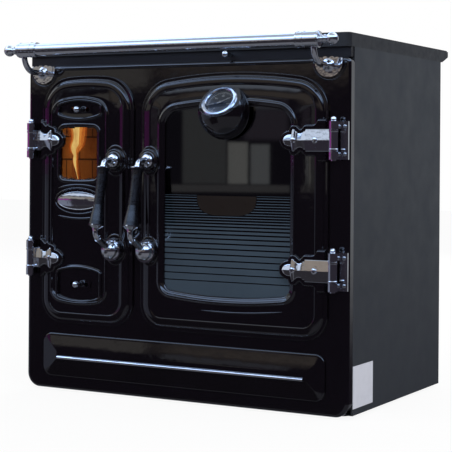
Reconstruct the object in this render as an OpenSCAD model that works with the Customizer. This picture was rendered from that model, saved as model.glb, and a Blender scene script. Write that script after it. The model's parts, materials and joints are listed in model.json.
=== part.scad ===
// Wood-burning range cooker with a firebox door, an oven door, a drawer and a front rail.
// Millimetres, +Z up, front towards -Y, origin at the centre of the footprint on the floor.

/* [Body] */
// Width over the side panels
body_w = 890; // [860:5:960]
// Height from the floor to the top of the hob
body_h = 870; // [860:5:920]
// Depth of a side panel
side_d = 545; // [530:5:620]
// Thickness of the sheet panels
sheet_t = 2; // [1.5:0.5:3]
// Height of the body above the floor
foot_h = 8; // [7:1:14]
// Radius of a foot pad
foot_r = 18; // [14:1:24]

/* [Front casting] */
// Depth of the front casting
cast_d = 25; // [22:1:30]
// Wall of the front casting
cast_wall = 8; // [6:1:10]
// Radius of the casting's lower corners
cast_corner = 35; // [25:1:45]
// Rounding of the casting's front edge
cast_round = 9; // [6:1:11]
// Radius of the bead along the casting's top
bead_r = 5; // [3:0.5:6]

/* [Hob] */
// Height of the hob frame
hob_h = 32; // [28:1:38]
// Height of the recessed fascia under the hob
fascia_h = 23; // [20:1:30]
// Overhang of the hob behind the body
hob_over = 65; // [50:1:80]
// Width of the hob frame's border
hob_border = 62; // [50:1:80]
// Thickness of the cast hob plate
plate_t = 10; // [8:1:12]
// Radius of the hob ring
ring_r = 115; // [100:1:130]
// Radius of the hob lid
lid_r = 72; // [55:1:80]

/* [Doors] */
// Distance from the body's side to the hinge edge of a door
door_side = 49; // [46:1:52]
// Width of the firebox door
fire_w = 272; // [262:1:285]
// Gap between the two doors
door_gap = 22; // [16:1:28]
// Distance from the top of the casting to the doors
door_top_gap = 28; // [24:1:34]
// Distance from the drawer front to the doors
door_low_gap = 27; // [20:1:34]
// Thickness of a door at its outer roll
roll_h = 12.8; // [12.4:0.2:14]
// Thickness of a door at its flat band
band_h = 11; // [9:0.5:12]
// Radius of a door's upper corners
door_rt = 85; // [70:1:95]
// Radius of a door's lower corners
door_rb = 62; // [56:1:75]
// Rise of the firebox door's arched top
fire_rise = 14; // [8:1:20]
// Rise of the oven door's arched top
oven_rise = 26; // [18:1:34]
// Distance from a door's edge to its gasket groove
seal_in = 34; // [32:1:36]
// Diameter of the rope gasket
seal_d = 9; // [7:0.5:10]
// Distance from a door's edge to the opening behind it
mouth_in = 50; // [48:1:54]

/* [Oven window] */
// Distance from the oven door's free edge to the window
win_free = 68; // [66:1:76]
// Distance from the oven door's hinge edge to the window
win_hinge = 94; // [90:1:104]
// Distance from the oven door's top to the window
win_top = 79; // [74:1:90]
// Distance from the oven door's bottom to the window
win_low = 88; // [80:1:100]
// Thickness of a door glass
glass_t = 4; // [3:0.5:5]

/* [Firebox door face] */
// Distance from the hinge edge to the raised panel
panel_hinge = 40; // [36:1:44]
// Distance from the free edge to the raised panel
panel_free = 82; // [80:1:92]
// Width of the firebox window
fire_win_w = 110; // [100:1:116]
// Height of the firebox window
fire_win_h = 130; // [110:1:140]
// Distance from the door's top to the firebox window
fire_win_top = 127; // [122:1:132]
// Half width of an air register
lens_l = 69; // [62:1:70]
// Half height of the upper air register
lens_up = 27.5; // [25:0.5:29]
// Half height of the lower air register
lens_low = 47; // [40:1:50]
// Length of the oval plate
badge_l = 127; // [100:1:130]
// Height of the oval plate
badge_hgt = 46; // [40:1:52]
// Travel of an air slide each way
air_travel = 9; // [6:0.5:10]
// Radius of an air knob
air_knob_r = 8.5; // [7:0.5:10]

/* [Hinges] */
// Distance from the body's side to a hinge pin
pin_side = 28; // [26:1:30]
// Distance of the hinge pin in front of the casting
pin_out = 25; // [23:0.5:27]
// Radius of a hinge pin
pin_r = 4.5; // [3.5:0.5:5]
// Running clearance of a hinge pin in its knuckles
pin_fit = 0.05; // [0.03:0.01:0.08]
// Radius of a hinge knuckle
knuckle_r = 11; // [9:0.5:11.5]
// Height of a whole hinge
hinge_h = 86; // [80:1:96]
// Height of the door's knuckle and strap
strap_h = 50; // [44:1:54]
// Length of an oven door strap from the pin to its tip
strap_oven_l = 130; // [118:1:138]
// Length of a firebox door strap from the pin to its tip
strap_fire_l = 81; // [78:1:92]
// Thickness of a strap
strap_t = 4; // [3:0.5:5]
// Distance from the door's top to the upper hinge
hinge_top = 160; // [150:1:170]
// Distance from the door's bottom to the lower hinge
hinge_low = 161; // [150:1:170]

/* [Handles] */
// Distance of the upper handle boss below the door's top
grip_top = 209; // [200:1:215]
// Height between the two handle bosses
grip_span = 217; // [210:1:222]
// Forward lean of a grip in degrees
grip_lean = 11.5; // [8:0.5:13]
// Length of a grip
grip_l = 138; // [130:1:142]
// Radius of a grip at its waist
grip_r = 12; // [10:0.5:13]
// Distance from the firebox door's free edge to its handle
grip_fire = 48; // [46:1:52]
// Distance from the oven door's free edge to its handle
grip_oven = 28; // [27:1:31]
// Radius of a handle's neck
neck_r = 7; // [6:0.5:8]
// Forward reach of the upper neck
neck_out = 48.5; // [46:0.5:56]

/* [Thermometer] */
// Radius of the thermometer housing
therm_r = 65; // [60:1:68]
// Depth of the thermometer housing
therm_d = 56; // [52:1:60]
// Upward tilt of the dial in degrees
dial_tilt = 40; // [36:1:44]
// Radius of the bezel
bezel_r = 45; // [43:1:47]
// Radius of the dial
dial_r = 33; // [30:1:35]

/* [Drawer] */
// Height of the drawer front above the body's bottom
drawer_low = 30; // [27:1:36]
// Height of the drawer front
drawer_h = 107; // [100:1:112]
// Distance from the body's side to the drawer front
drawer_side = 55; // [50:1:60]
// Depth of the drawer box
drawer_d = 470; // [420:5:500]
// Distance from the drawer front's end to the chrome strip
strip_in = 50; // [42:1:70]

/* [Rail] */
// Height of the rail's axis below the hob's top
rail_low = 22; // [18:1:28]
// Distance of the rail in front of the casting
rail_out = 85; // [78:1:92]
// Radius of the rail tube
rail_r = 14.5; // [11:0.5:15]
// Radius of the rail's sleeves
sleeve_r = 17.5; // [17:0.5:19]
// Distance from the body's side to a rosette
rosette_side = 50; // [48:1:54]
// Radius of a rosette
rosette_r = 34; // [30:1:36]
// Radius of a rail finial
ball_r = 14; // [12:0.5:15]

/* [Flue and damper] */
// Radius of the flue collar
flue_r = 75; // [60:1:78]
// Distance of the flue's axis to the right of the middle
flue_x = 140; // [120:1:150]
// Distance of the damper knob to the right of the middle
damper_x = 135; // [120:1:150]

/* [Hidden] */
$fn = 48;

// Clearances
gap = 0.3;
loose = 0.5;
door_clear = 0.5;
seal_clear = 0.3;

// Shared outline and blend values
arc_n = 6;
top_n = 8;
low_n = 2;
flat_sag = 1;
round_steps = 4;
cut_over = 1;

// Heights of the main levels
half_w = body_w / 2;
hob_z = body_h - hob_h;
cast_z1 = hob_z - fascia_h;
cast_z0 = foot_h - 3;
drawer_z0 = foot_h + drawer_low;
drawer_z1 = drawer_z0 + drawer_h;
door_z0 = drawer_z1 + door_low_gap;
door_z1 = cast_z1 - door_top_gap;

// Grip geometry, seen from the side: h runs forward from the casting's face
pad_h = band_h + 5.5;
pad_r = 27;
pad_root = 4;
neck_bend = 16;
bell_up = 6;
bell_low = 12;
bell_flare = 4.5;
// Place along a grip and its radius beyond the waist's
grip_shape = [
    [0, 3.3], [0.05, 2], [0.12, 1], [0.3, 0.2], [0.5, 0], [0.65, 0], [0.75, 1.5], [0.85, 3.5],
    [0.93, 5], [1, 6]
];
grip_r_low = grip_r + 6;
boss_r = 26.5;
low_pad_h = pad_h + 13;
// Where the lower arm enters its dome, in front of the pad and above the boss's middle
arm_in = 12.5;
arm_up = 6;
elbow_h = neck_out + neck_bend * cos(grip_lean);
elbow_drop = neck_bend * (1 - sin(grip_lean));
grip_run = bell_up + grip_l + bell_low;
low_h = elbow_h + grip_run * sin(grip_lean);
low_drop = elbow_drop + grip_run * cos(grip_lean);
low_bend = 20;
low_c = [low_h - low_bend * cos(grip_lean), -low_drop - low_bend * sin(grip_lean)];
arm_v = [low_pad_h + arm_in, arm_up - grip_span] - low_c;
low_a = atan2(arm_v[1], arm_v[0]) + acos(low_bend / norm(arm_v));
low_arm = sqrt(norm(arm_v) * norm(arm_v) - low_bend * low_bend);
dome_r = 23;
flange_t = 2.5;
front_reach = elbow_h + (bell_up + grip_l + flange_t) * sin(grip_lean) + grip_r_low * cos(grip_lean);

// Depths: fy is the casting's front face
hob_d = cast_d + side_d + hob_over;
fy = (front_reach - hob_d) / 2;
side_y0 = fy + cast_d;
side_y1 = side_y0 + side_d;
wall_y = fy + cast_wall;

// Door outlines
fire_x0 = -half_w + door_side;
fire_x1 = fire_x0 + fire_w;
oven_x0 = fire_x1 + door_gap;
oven_x1 = half_w - door_side;
oven_w = oven_x1 - oven_x0;
fire_cx = (fire_x0 + fire_x1) / 2;
oven_cx = (oven_x0 + oven_x1) / 2;
seal_w = seal_d + 1;
groove_h = band_h - 4.5;

// Window of the oven door
win_x0 = oven_x0 + win_free;
win_x1 = oven_x1 - win_hinge;
win_cx = (win_x0 + win_x1) / 2;
win_w = win_x1 - win_x0;
win_z0 = door_z0 + win_low;
win_z1 = door_z1 - win_top;
win_rise = 16;
win_sag = 12;
win_rt = 38;
win_rb = 22;
lip_h = door_clear + glass_t;
ledge_w = 10;
ridge_h = band_h + 3.5;
pane_gap = 8;
pane_in = 2;
clip_t = 2;

// Face of the firebox door
panel_x0 = fire_x0 + panel_hinge;
panel_x1 = fire_x1 - panel_free;
panel_cx = (panel_x0 + panel_x1) / 2;
panel_w = panel_x1 - panel_x0;
panel_z0 = door_z0 + 59;
panel_z1 = door_z1 - 63;
panel_rise = 14;
panel_sag = 10;
panel_rt = 30;
panel_rb = 26;
panel_h = band_h - 2;
// Crest of the raised line outside the panel's outline
crest = 7;
// The window and the oval plate sit this far towards the hinges from the panel's middle
face_off = 2.5;
face_cx = panel_cx - face_off;
fire_win_z1 = door_z1 - fire_win_top;
fire_win_z0 = fire_win_z1 - fire_win_h;
fire_win_bow = 3;
fire_win_r = 12;
lens_floor = lip_h + 0.5;
lens_rim = 8;
lens_bow = 12;
lens_corner = 14;
lens_up_z = panel_z1 + crest - lens_up;
lens_low_z = panel_z0 - crest + lens_low;
badge_z = fire_win_z0 - 53;
badge_t = 2.5;
slide_t = 2;
slide_l = 34;
slide_hgt = 9;
air_hole_r = 5.5;
air_hole_x = 21;
stem_r = 3;
stem_out = 4;
fire_glass_over = 9;

// Hinges
pin_x = half_w - pin_side;
pin_y = fy - pin_out;
hinge_zs = [door_z0 + hinge_low, door_z1 - hinge_top];
leaf_t = 5;
leaf_in = 7;
leaf_x1 = half_w - 1;
knuckle_gap = 0.4;
bore_r = pin_r + pin_fit;
screw_r = 7;
screw_h = 3.5;
screw_e = 27;
screw_pitch = 55;

// Catches
catch_z = (door_z0 + door_z1) / 2;
catch_h = 40;
catch_in = 4;
tongue_t = 3.5;
tongue_in = catch_in + 4;

// Firebox and oven
shell_t = 4;
brick_t = 30;
grate_z = door_z0 + 224;
grate_t = 18;
brick_z1 = cast_z1 - 115;
mouth_z0 = door_z0 + mouth_in;
mouth_z1 = door_z1 - mouth_in;
mouth_fire_x0 = fire_x0 + mouth_in;
mouth_fire_x1 = fire_x1 - mouth_in;
mouth_oven_x0 = oven_x0 + mouth_in;
mouth_oven_x1 = oven_x1 - mouth_in;
fire_in_x0 = mouth_fire_x0 - 14;
fire_in_x1 = mouth_fire_x1 + 14;
shell_y1 = side_y1 - 100;
oven_t = 3;
oven_y1 = side_y1 - 100;
rack_z = (mouth_z0 + mouth_z1) / 2 - 60;

// Flue and damper
smoke_w = 2 * flue_r + 30;
smoke_y0 = oven_y1 + oven_t + 2;
flue_z = hob_z - flue_r - 18;
flue_t = 3;
flue_flange_t = 2;
flue_len = hob_over - 8;
damper_z = cast_z1 + fascia_h / 2 + 1;
damper_y1 = oven_y1 - 30;
rod_r = 4;
rod_out = 6;

// Drawer
drawer_x = half_w - drawer_side;
strip_l = 2 * (drawer_x - strip_in);
drawer_field = 12;
drawer_mouth_in = 14;
drawer_box_in = 26;
drawer_floor = 16;
runner_t = 2;

// Rail
rail_z = body_h - rail_low;
rail_y = fy - rail_out;
rosette_x = half_w - rosette_side;
arm_bend = 40;
arm_r = 7;
arm_drop = arm_bend + 12;
rosette_z = rail_z - arm_drop + 7;
sleeve_in = 40;
sleeve_out = 13;
ball_x = rosette_x + 45;
rail_end = rosette_x + 3;

// Hob opening
well_x = half_w - hob_border;
well_y0 = fy + hob_border;
well_y1 = fy + hob_d - hob_border - 40;
skirt_t = 14;
top_t = 8;
well_ledge = 14;
ring_x = (fire_in_x0 + fire_in_x1) / 2 + 25;
ring_y = fy + 235;
seat_w = 8;
seat_t = plate_t / 2;

// Outline helpers

// Points of an arc in degrees, without its last point
function arc(cx, cz, r, a0, a1, n) =
    [for (i = [0:n - 1]) let (a = a0 + (a1 - a0) * i / n) [cx + r * cos(a), cz + r * sin(a)]];

// Radius of the circle through a chord and its rise
function bow_r(w, rise) = (w * w / 4 + rise * rise) / (2 * rise);

// Height of a corner circle's centre inside a bow
function bow_reach(R, w, r) = sqrt(pow(R - r, 2) - pow(w / 2 - r, 2));

// Arched outline about x = 0 from z0 to z1, inset by d; every inset has the same number of points
function shield(w, z0, z1, rise, sag, rt, rb, d = 0) =
    let (
        R1 = bow_r(w, rise), R0 = bow_r(w, sag),
        t1 = bow_reach(R1, w, rt), t0 = bow_reach(R0, w, rb),
        at = atan2(t1, w / 2 - rt), ab = atan2(t0, w / 2 - rb),
        zt = z1 - R1, zb = z0 + R0
    )
    concat(
        arc(w / 2 - rb, zb - t0, rb - d, -ab, 0, arc_n),
        arc(w / 2 - rt, zt + t1, rt - d, 0, at, arc_n),
        arc(0, zt, R1 - d, at, 180 - at, top_n),
        arc(-w / 2 + rt, zt + t1, rt - d, 180 - at, 180, arc_n),
        arc(-w / 2 + rb, zb - t0, rb - d, 180, 180 + ab, arc_n),
        arc(0, zb, R0 - d, 180 + ab, 360 - ab, low_n)
    );

function fire_outline(d) =
    shield(fire_w, door_z0, door_z1, fire_rise, flat_sag, door_rt, door_rb, d);
function oven_outline(d) =
    shield(oven_w, door_z0, door_z1, oven_rise, flat_sag, door_rt, door_rb, d);
function window_outline(d) =
    shield(win_w, win_z0, win_z1, win_rise, win_sag, win_rt, win_rb, d);
function panel_outline(d) =
    shield(panel_w, panel_z0, panel_z1, panel_rise, panel_sag, panel_rt, panel_rb, d);
function fire_window_outline(d) =
    shield(fire_win_w, fire_win_z0, fire_win_z1, fire_win_bow, fire_win_bow, fire_win_r, fire_win_r, d);

// Rounded rectangle centred on x = 0 from v0 to v1, inset by d
function slab(w, v0, v1, r0, r1, d = 0, n = arc_n) =
    concat(
        arc(w / 2 - r0, v0 + r0, r0 - d, -90, 0, n), arc(w / 2 - r1, v1 - r1, r1 - d, 0, 90, n),
        arc(-w / 2 + r1, v1 - r1, r1 - d, 90, 180, n), arc(-w / 2 + r0, v0 + r0, r0 - d, 180, 270, n)
    );

// Ring of points at x offset cx that stands h in front of the casting's face
function ring(pts, cx, h) = [for (p = pts) [p[0] + cx, fy - h, p[1]]];

// Faceted solid through rings of equal counts, from the back to the front of the outer side
module loft(rings, closed = false) {
    n = len(rings[0]);
    m = len(rings);
    spans = closed ? m : m - 1;
    sides = [for (k = [0:spans - 1], i = [0:n - 1])
        let (j = (i + 1) % n, q = (k + 1) % m)
        each [[k * n + i, q * n + j, k * n + j], [k * n + i, q * n + i, q * n + j]]];
    caps = closed ? [] : [[for (i = [0:n - 1]) i], [for (i = [n - 1:-1:0]) (m - 1) * n + i]];
    polyhedron(points = [for (r = rings) each r], faces = concat(sides, caps), convexity = 10);
}

// Prism of a 2D shape drawn in X and Z, between two distances in front of the casting's face
module front_prism(h0, h1) {
    translate([0, fy - h0, 0]) rotate([90, 0, 0]) linear_extrude(h1 - h0) children();
}

// Turns a solid drawn along +Z so that it points forward from a point on the front
module facing(x, z, h) {
    translate([x, fy - h, z]) rotate([90, 0, 0]) children();
}

// Disc or bar of radius r pointing forward from h0 to h1
module stud(x, z, r, h0, h1) {
    facing(x, z, h0) cylinder(r = r, h = h1 - h0);
}

// Box between two corners
module box(a, b) {
    translate(a) cube(b - a);
}

// Both sides of the body
module both_sides() {
    children();
    mirror([1, 0, 0]) children();
}

// Outline of an air register about its middle, half height t, inset by d
function air_outline(t, d) =
    shield(2 * lens_l, -t, t, lens_bow, lens_bow, lens_corner, lens_corner, d);

// Casing and base

module base_pan() {
    color("dimgray") difference() {
        union() {
            box([-half_w + sheet_t, side_y0, foot_h],
                [half_w - sheet_t, side_y1 - sheet_t, foot_h + sheet_t]);
            both_sides()
                box([half_w - 2 * sheet_t, side_y0, foot_h],
                    [half_w - sheet_t, side_y1 - sheet_t, foot_h + pan_lip]);
        }
        for (x = foot_xs, y = foot_ys)
            translate([x, y, foot_h - cut_over])
                cylinder(r = foot_stud_r + loose, h = sheet_t + 2 * cut_over);
    }
}
pan_lip = 20;
foot_stud_r = 5;
foot_xs = [-half_w + 45, half_w - 45];
foot_ys = [side_y0 + 45, side_y1 - 45];

module feet() {
    pad_t = foot_h / 2;
    stud_over = 16;
    nut_t = 6;
    color("silver") for (x = foot_xs, y = foot_ys) translate([x, y, 0]) {
        cylinder(r = foot_r, h = pad_t);
        cylinder(r = foot_stud_r * 2, h = foot_h);
        cylinder(r = foot_stud_r, h = foot_h + sheet_t + stud_over);
        translate([0, 0, foot_h + sheet_t]) cylinder(r = foot_stud_r * 2, h = nut_t, $fn = 6);
    }
}

module side_panel() {
    flange = 12;
    tab_h = 40;
    box([half_w - sheet_t, side_y0, foot_h], [half_w, side_y1, hob_z]);
    box([half_w - flange, side_y0, hob_z - sheet_t], [half_w, side_y1 - sheet_t, hob_z]);
    box([half_w - flange, side_y0, cast_z1 - tab_h], [half_w, side_y0 + sheet_t, hob_z]);
}

module side_panel_right() {
    color("#363739") side_panel();
}

module side_panel_left() {
    color("#363739") mirror([1, 0, 0]) side_panel();
}

module back_panel() {
    slot_w = 90;
    slot_h = 6;
    slot_pitch = 24;
    slots = 6;
    color("#363739") difference() {
        box([-half_w + sheet_t, side_y1 - sheet_t, foot_h],
            [half_w - sheet_t, side_y1, hob_z]);
        translate([flue_x, side_y1 + cut_over, flue_z]) rotate([90, 0, 0])
            cylinder(r = flue_r + loose, h = sheet_t + 2 * cut_over);
        for (x = [-half_w * 0.6, half_w * 0.2, half_w * 0.65], i = [0:slots - 1])
            translate([x - slot_w / 2, side_y1 - sheet_t - cut_over, drawer_z1 + slot_pitch * i])
                cube([slot_w, sheet_t + 2 * cut_over, slot_h]);
    }
}

// Front casting with its openings, its top bead and the rims round the rosettes
module front_casting() {
    r = cast_round;
    top_r = 14;
    rim_gap = 6;
    rim_r = rosette_r + rim_gap;
    rim_w = 5;
    rim_h = 2;
    rim_root = 5;
    rings = concat(
        [ring(slab(body_w, cast_z0, cast_z1, cast_corner, top_r), 0, -cast_d)],
        [for (i = [0:round_steps]) let (a = 90 * i / round_steps)
            ring(slab(body_w, cast_z0, cast_z1, cast_corner, top_r, r * (1 - cos(a))), 0,
                -r * (1 - sin(a)))]
    );
    color("#0b0a0e") difference() {
        union() {
            loft(rings);
            facing(0, cast_z1 - bead_r - 4, 0) rotate([0, 90, 0])
                translate([0, 0, -rosette_x + rim_r])
                cylinder(r = bead_r, h = 2 * (rosette_x - rim_r), $fn = 24);
            both_sides() front_prism(-rim_root, rim_h) intersection() {
                translate([rosette_x, rosette_z]) difference() {
                    circle(r = rim_r + rim_w / 2);
                    circle(r = rim_r - rim_w / 2);
                }
                translate([0, cast_z1 - 120]) square([half_w - r, 120 - 3]);
            }
        }
        front_prism(-cast_d - cut_over, -cast_wall)
            polygon(slab(body_w, cast_z0, cast_z1, cast_corner, top_r, cast_wall));
        front_prism(-cast_d, cut_over)
            translate([fire_cx, 0]) polygon(fire_outline(mouth_in));
        front_prism(-cast_d, cut_over)
            translate([oven_cx, 0]) polygon(oven_outline(mouth_in));
        front_prism(-cast_d, cut_over)
            polygon(slab(2 * (drawer_x - drawer_mouth_in), drawer_z0 + drawer_mouth_in,
                drawer_z1 - drawer_mouth_in, 6, 6));
    }
}

module fascia() {
    face_in = 10;
    x1 = half_w - sheet_t;
    color("#141214") difference() {
        union() {
            box([-x1, fy + face_in, cast_z1], [x1, fy + face_in + sheet_t, hob_z]);
            both_sides() box([x1 - sheet_t, fy + face_in, cast_z1], [x1, side_y0, hob_z]);
        }
        facing(damper_x, damper_z, -face_in - sheet_t - cut_over)
            cylinder(r = rod_r + gap, h = sheet_t + 2 * cut_over);
    }
}

module rating_plate() {
    plate_y0 = side_y0 + 1;
    plate_z0 = foot_h + 15;
    plate_l = 112;
    plate_hgt = 96;
    thick = 0.8;
    color("gainsboro")
        box([half_w, plate_y0, plate_z0], [half_w + thick, plate_y0 + plate_l, plate_z0 + plate_hgt]);
}

// Hob

module hob_frame() {
    y1 = fy + hob_d;
    corner = 14;
    edge = 3;
    relief = hob_over - 12;
    relief_a = 20;
    web = 6;
    shelf_z = body_h - plate_t;
    color("#4a4a4c") difference() {
        union() {
            difference() {
                union() {
                    translate([0, 0, hob_z]) linear_extrude(hob_h - edge)
                        polygon(slab(body_w, fy, y1, corner, corner));
                    translate([0, 0, body_h - edge]) linear_extrude(edge)
                        polygon(slab(body_w, fy, y1, corner, corner, edge));
                }
                translate([0, 0, hob_z - cut_over]) linear_extrude(hob_h - top_t + cut_over)
                    polygon(slab(body_w, fy, y1 - hob_over + skirt_t, corner + 2, corner + 2, skirt_t));
                translate([-half_w - cut_over, y1 - relief, hob_z]) rotate([relief_a, 0, 0])
                    translate([0, 0, -hob_h]) cube([body_w + 2 * cut_over, relief * 1.5, hob_h]);
            }
            box([-well_x - web, well_y0 - web, shelf_z - top_t], [well_x + web, well_y1 + web, body_h - 1]);
        }
        box([-well_x, well_y0, shelf_z], [well_x, well_y1, body_h + cut_over]);
        box([-well_x + well_ledge, well_y0 + well_ledge, hob_z],
            [well_x - well_ledge, well_y1 - well_ledge, body_h]);
    }
}

module hob_plate() {
    color("#3a3a3c") difference() {
        box([-well_x + loose, well_y0 + loose, body_h - plate_t],
            [well_x - loose, well_y1 - loose, body_h]);
        translate([ring_x, ring_y, body_h - plate_t - cut_over]) {
            cylinder(r = ring_r - seat_w, h = plate_t + 2 * cut_over);
            translate([0, 0, plate_t - seat_t + cut_over]) cylinder(r = ring_r, h = plate_t);
        }
    }
}

// Stepped disc that drops into a seat of radius r
module seat_disc(r) {
    translate([ring_x, ring_y, body_h - plate_t]) {
        cylinder(r = r - seat_w - loose, h = plate_t);
        translate([0, 0, plate_t - seat_t + gap]) cylinder(r = r - loose, h = seat_t - gap);
    }
}

module hob_ring() {
    color("#3a3a3c") difference() {
        seat_disc(ring_r);
        translate([ring_x, ring_y, body_h - plate_t - cut_over]) {
            cylinder(r = lid_r - seat_w, h = plate_t + 2 * cut_over);
            translate([0, 0, plate_t - seat_t + cut_over]) cylinder(r = lid_r, h = plate_t);
        }
    }
}

module hob_lid() {
    key_w = 12;
    color("#3a3a3c") difference() {
        seat_disc(lid_r);
        translate([ring_x - key_w / 2, ring_y - lid_r / 2 - key_w, body_h - seat_t])
            cube([key_w, 2 * key_w, seat_t + cut_over]);
    }
}

// Firebox

module firebox_shell() {
    x0 = fire_in_x0 - brick_t - shell_t;
    x1 = fire_in_x1 + brick_t + shell_t;
    sill = 2;
    over_mouth = 10;
    shelf_t = 6;
    z0 = mouth_z0 - shell_t - sill;
    z1 = cast_z1 - cast_wall - loose;
    low_z1 = mouth_z1 + over_mouth;
    shelf = shell_t + brick_t + 8;
    shelf_z = grate_z - shelf_t;
    color("#2b2826") {
        box([x0, wall_y, z0], [x0 + shell_t, shell_y1, z1]);
        box([x1 - shell_t, wall_y, z0], [x1, shell_y1, low_z1]);
        box([x0, shell_y1 - shell_t, z0], [x1, shell_y1, z1]);
        box([x0, wall_y, z0], [x1, shell_y1, z0 + shell_t]);
        box([x0, wall_y, shelf_z], [x0 + shelf, shell_y1, grate_z]);
        box([x1 - shelf, wall_y, shelf_z], [x1, shell_y1, grate_z]);
        box([x0, shell_y1 - shelf, shelf_z], [x1, shell_y1, grate_z]);
    }
}

module firebricks() {
    front_in = 22;
    pinch = 6;
    y0 = wall_y + front_in;
    back_y0 = shell_y1 - shell_t - gap - brick_t;
    joint = 1.5;
    rows = 5;
    row_h = (brick_z1 - grate_z) / rows;
    x0 = fire_in_x0 - brick_t;
    x1 = fire_in_x1 + brick_t;
    color("#b98a52") for (i = [0:rows - 1]) {
        z0 = grate_z + i * row_h;
        z1 = z0 + row_h - (i < rows - 1 ? joint : 0);
        box([x0 + gap, y0, z0], [x0 + brick_t, back_y0, z1]);
        box([x1 - brick_t, y0, z0], [x1 - gap, back_y0, z1]);
        box([x0 + gap, back_y0 + gap, z0], [x1 - gap, back_y0 + brick_t, z1]);
        if (i < rows - 1) {
            box([x0 + pinch, y0 + pinch, z1], [x0 + brick_t - pinch, back_y0 - pinch, z1 + joint]);
            box([x1 - brick_t + pinch, y0 + pinch, z1],
                [x1 - pinch, back_y0 - pinch, z1 + joint]);
            box([x0 + pinch, back_y0 + pinch, z1], [x1 - pinch, back_y0 + brick_t - pinch, z1 + joint]);
        }
    }
}

module fire_grate() {
    bars = 9;
    bar_w = 9;
    side_gap = 1;
    front_in = 24;
    back_gap = 4;
    x0 = fire_in_x0 + side_gap;
    x1 = fire_in_x1 - side_gap;
    y0 = wall_y + front_in;
    y1 = shell_y1 - shell_t - brick_t - back_gap;
    pitch = (x1 - x0 - bar_w) / (bars - 1);
    color("#2b2826") {
        for (i = [0:bars - 1])
            box([x0 + i * pitch, y0, grate_z], [x0 + i * pitch + bar_w, y1, grate_z + grate_t]);
        for (y = [y0, (y0 + y1 - bar_w) / 2, y1 - bar_w])
            box([x0, y, grate_z], [x1, y + bar_w, grate_z + grate_t / 2]);
    }
}

module ash_pan() {
    t = 1.5;
    side_gap = 5;
    front_in = 10;
    back_in = 60;
    hgt = 85;
    grab_w = 60;
    grab_out = 8;
    grab_t = 3;
    grab_low = 22;
    x0 = mouth_fire_x0 + side_gap;
    x1 = mouth_fire_x1 - side_gap;
    y0 = wall_y + front_in;
    y1 = shell_y1 - back_in;
    z0 = mouth_z0 - 2;
    grab_z = z0 + hgt - grab_low;
    color("gray") {
        difference() {
            box([x0, y0, z0], [x1, y1, z0 + hgt]);
            box([x0 + t, y0 + t, z0 + t], [x1 - t, y1 - t, z0 + hgt + cut_over]);
        }
        box([panel_cx - grab_w / 2, y0 - grab_out, grab_z], [panel_cx + grab_w / 2, y0, grab_z + grab_t]);
    }
}

// Oven, smoke box and flue

module oven_box() {
    x0 = mouth_oven_x0;
    x1 = mouth_oven_x1;
    runner = 8;
    runner_hgt = 3;
    runner_pitch = 90;
    root = 0.5;
    front_in = 30;
    back_in = 20;
    guide_in = 160;
    guide_w = 30;
    guide_over = 4;
    color("#55565a") {
        difference() {
            box([x0 - oven_t, wall_y, mouth_z0 - oven_t], [x1 + oven_t, oven_y1 + oven_t, mouth_z1 + oven_t]);
            box([x0, wall_y - cut_over, mouth_z0], [x1, oven_y1, mouth_z1]);
        }
        for (i = [-1:1], side = [0, 1]) {
            x = side == 0 ? x0 - root : x1 + root - runner;
            z = rack_z + i * runner_pitch;
            box([x, wall_y + front_in, z - runner_hgt], [x + runner, oven_y1 - back_in, z]);
        }
        difference() {
            box([damper_x - guide_w / 2, wall_y + guide_in, mouth_z1 + oven_t],
                [damper_x + guide_w / 2, wall_y + guide_in + oven_t, damper_z + rod_r + guide_over]);
            facing(damper_x, damper_z, -cast_wall - guide_in - oven_t - cut_over)
                cylinder(r = rod_r + gap, h = oven_t + 2 * cut_over);
        }
    }
}

module oven_rack() {
    rod = 3;
    bar = 2;
    bars = 12;
    clear = 3;
    front_in = 34;
    back_in = 30;
    x0 = mouth_oven_x0 + clear;
    x1 = mouth_oven_x1 - clear;
    y0 = wall_y + front_in;
    y1 = oven_y1 - back_in;
    z = rack_z + rod;
    pitch = (x1 - x0) / bars;
    color("silver") {
        for (x = [x0, x1]) translate([x, y0, z]) rotate([-90, 0, 0]) cylinder(r = rod, h = y1 - y0);
        for (y = [y0, (y0 + y1) / 2, y1])
            translate([x0 - rod, y, z]) rotate([0, 90, 0]) cylinder(r = rod, h = x1 - x0 + 2 * rod);
        for (i = [1:bars - 1])
            translate([x0 + i * pitch, y0 - rod, z]) rotate([-90, 0, 0])
                cylinder(r = bar, h = y1 - y0 + 2 * rod);
    }
}

module smoke_box() {
    t = 3;
    under_flue = 12;
    under_hob = 4;
    x0 = flue_x - smoke_w / 2;
    x1 = flue_x + smoke_w / 2;
    y1 = side_y1 - sheet_t;
    z0 = flue_z - flue_r - under_flue;
    z1 = hob_z - under_hob;
    color("#2b2826") difference() {
        box([x0, smoke_y0, z0], [x1, y1, z1]);
        box([x0 + t, smoke_y0 + t, z0 + t], [x1 - t, y1 - t, z1 - t]);
        box([x0 + t, smoke_y0 - cut_over, mouth_z1 + oven_t + t], [x1 - t, smoke_y0 + 2 * t, z1 - t]);
        translate([flue_x, y1 + cut_over, flue_z]) rotate([90, 0, 0])
            cylinder(r = flue_r - flue_t, h = t + 2 * cut_over);
    }
}

// Collar through the back panel, with a flange that covers the hole's edge
module flue_collar() {
    flange_w = 9;
    color("#2b2826") translate([flue_x, side_y1 + flue_len, flue_z]) rotate([90, 0, 0])
        difference() {
            union() {
                cylinder(r = flue_r, h = flue_len + sheet_t);
                translate([0, 0, flue_len - flue_flange_t])
                    cylinder(r = flue_r + flange_w, h = flue_flange_t);
            }
            translate([0, 0, -cut_over])
                cylinder(r = flue_r - flue_t, h = flue_len + sheet_t + 2 * cut_over);
        }
}

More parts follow.
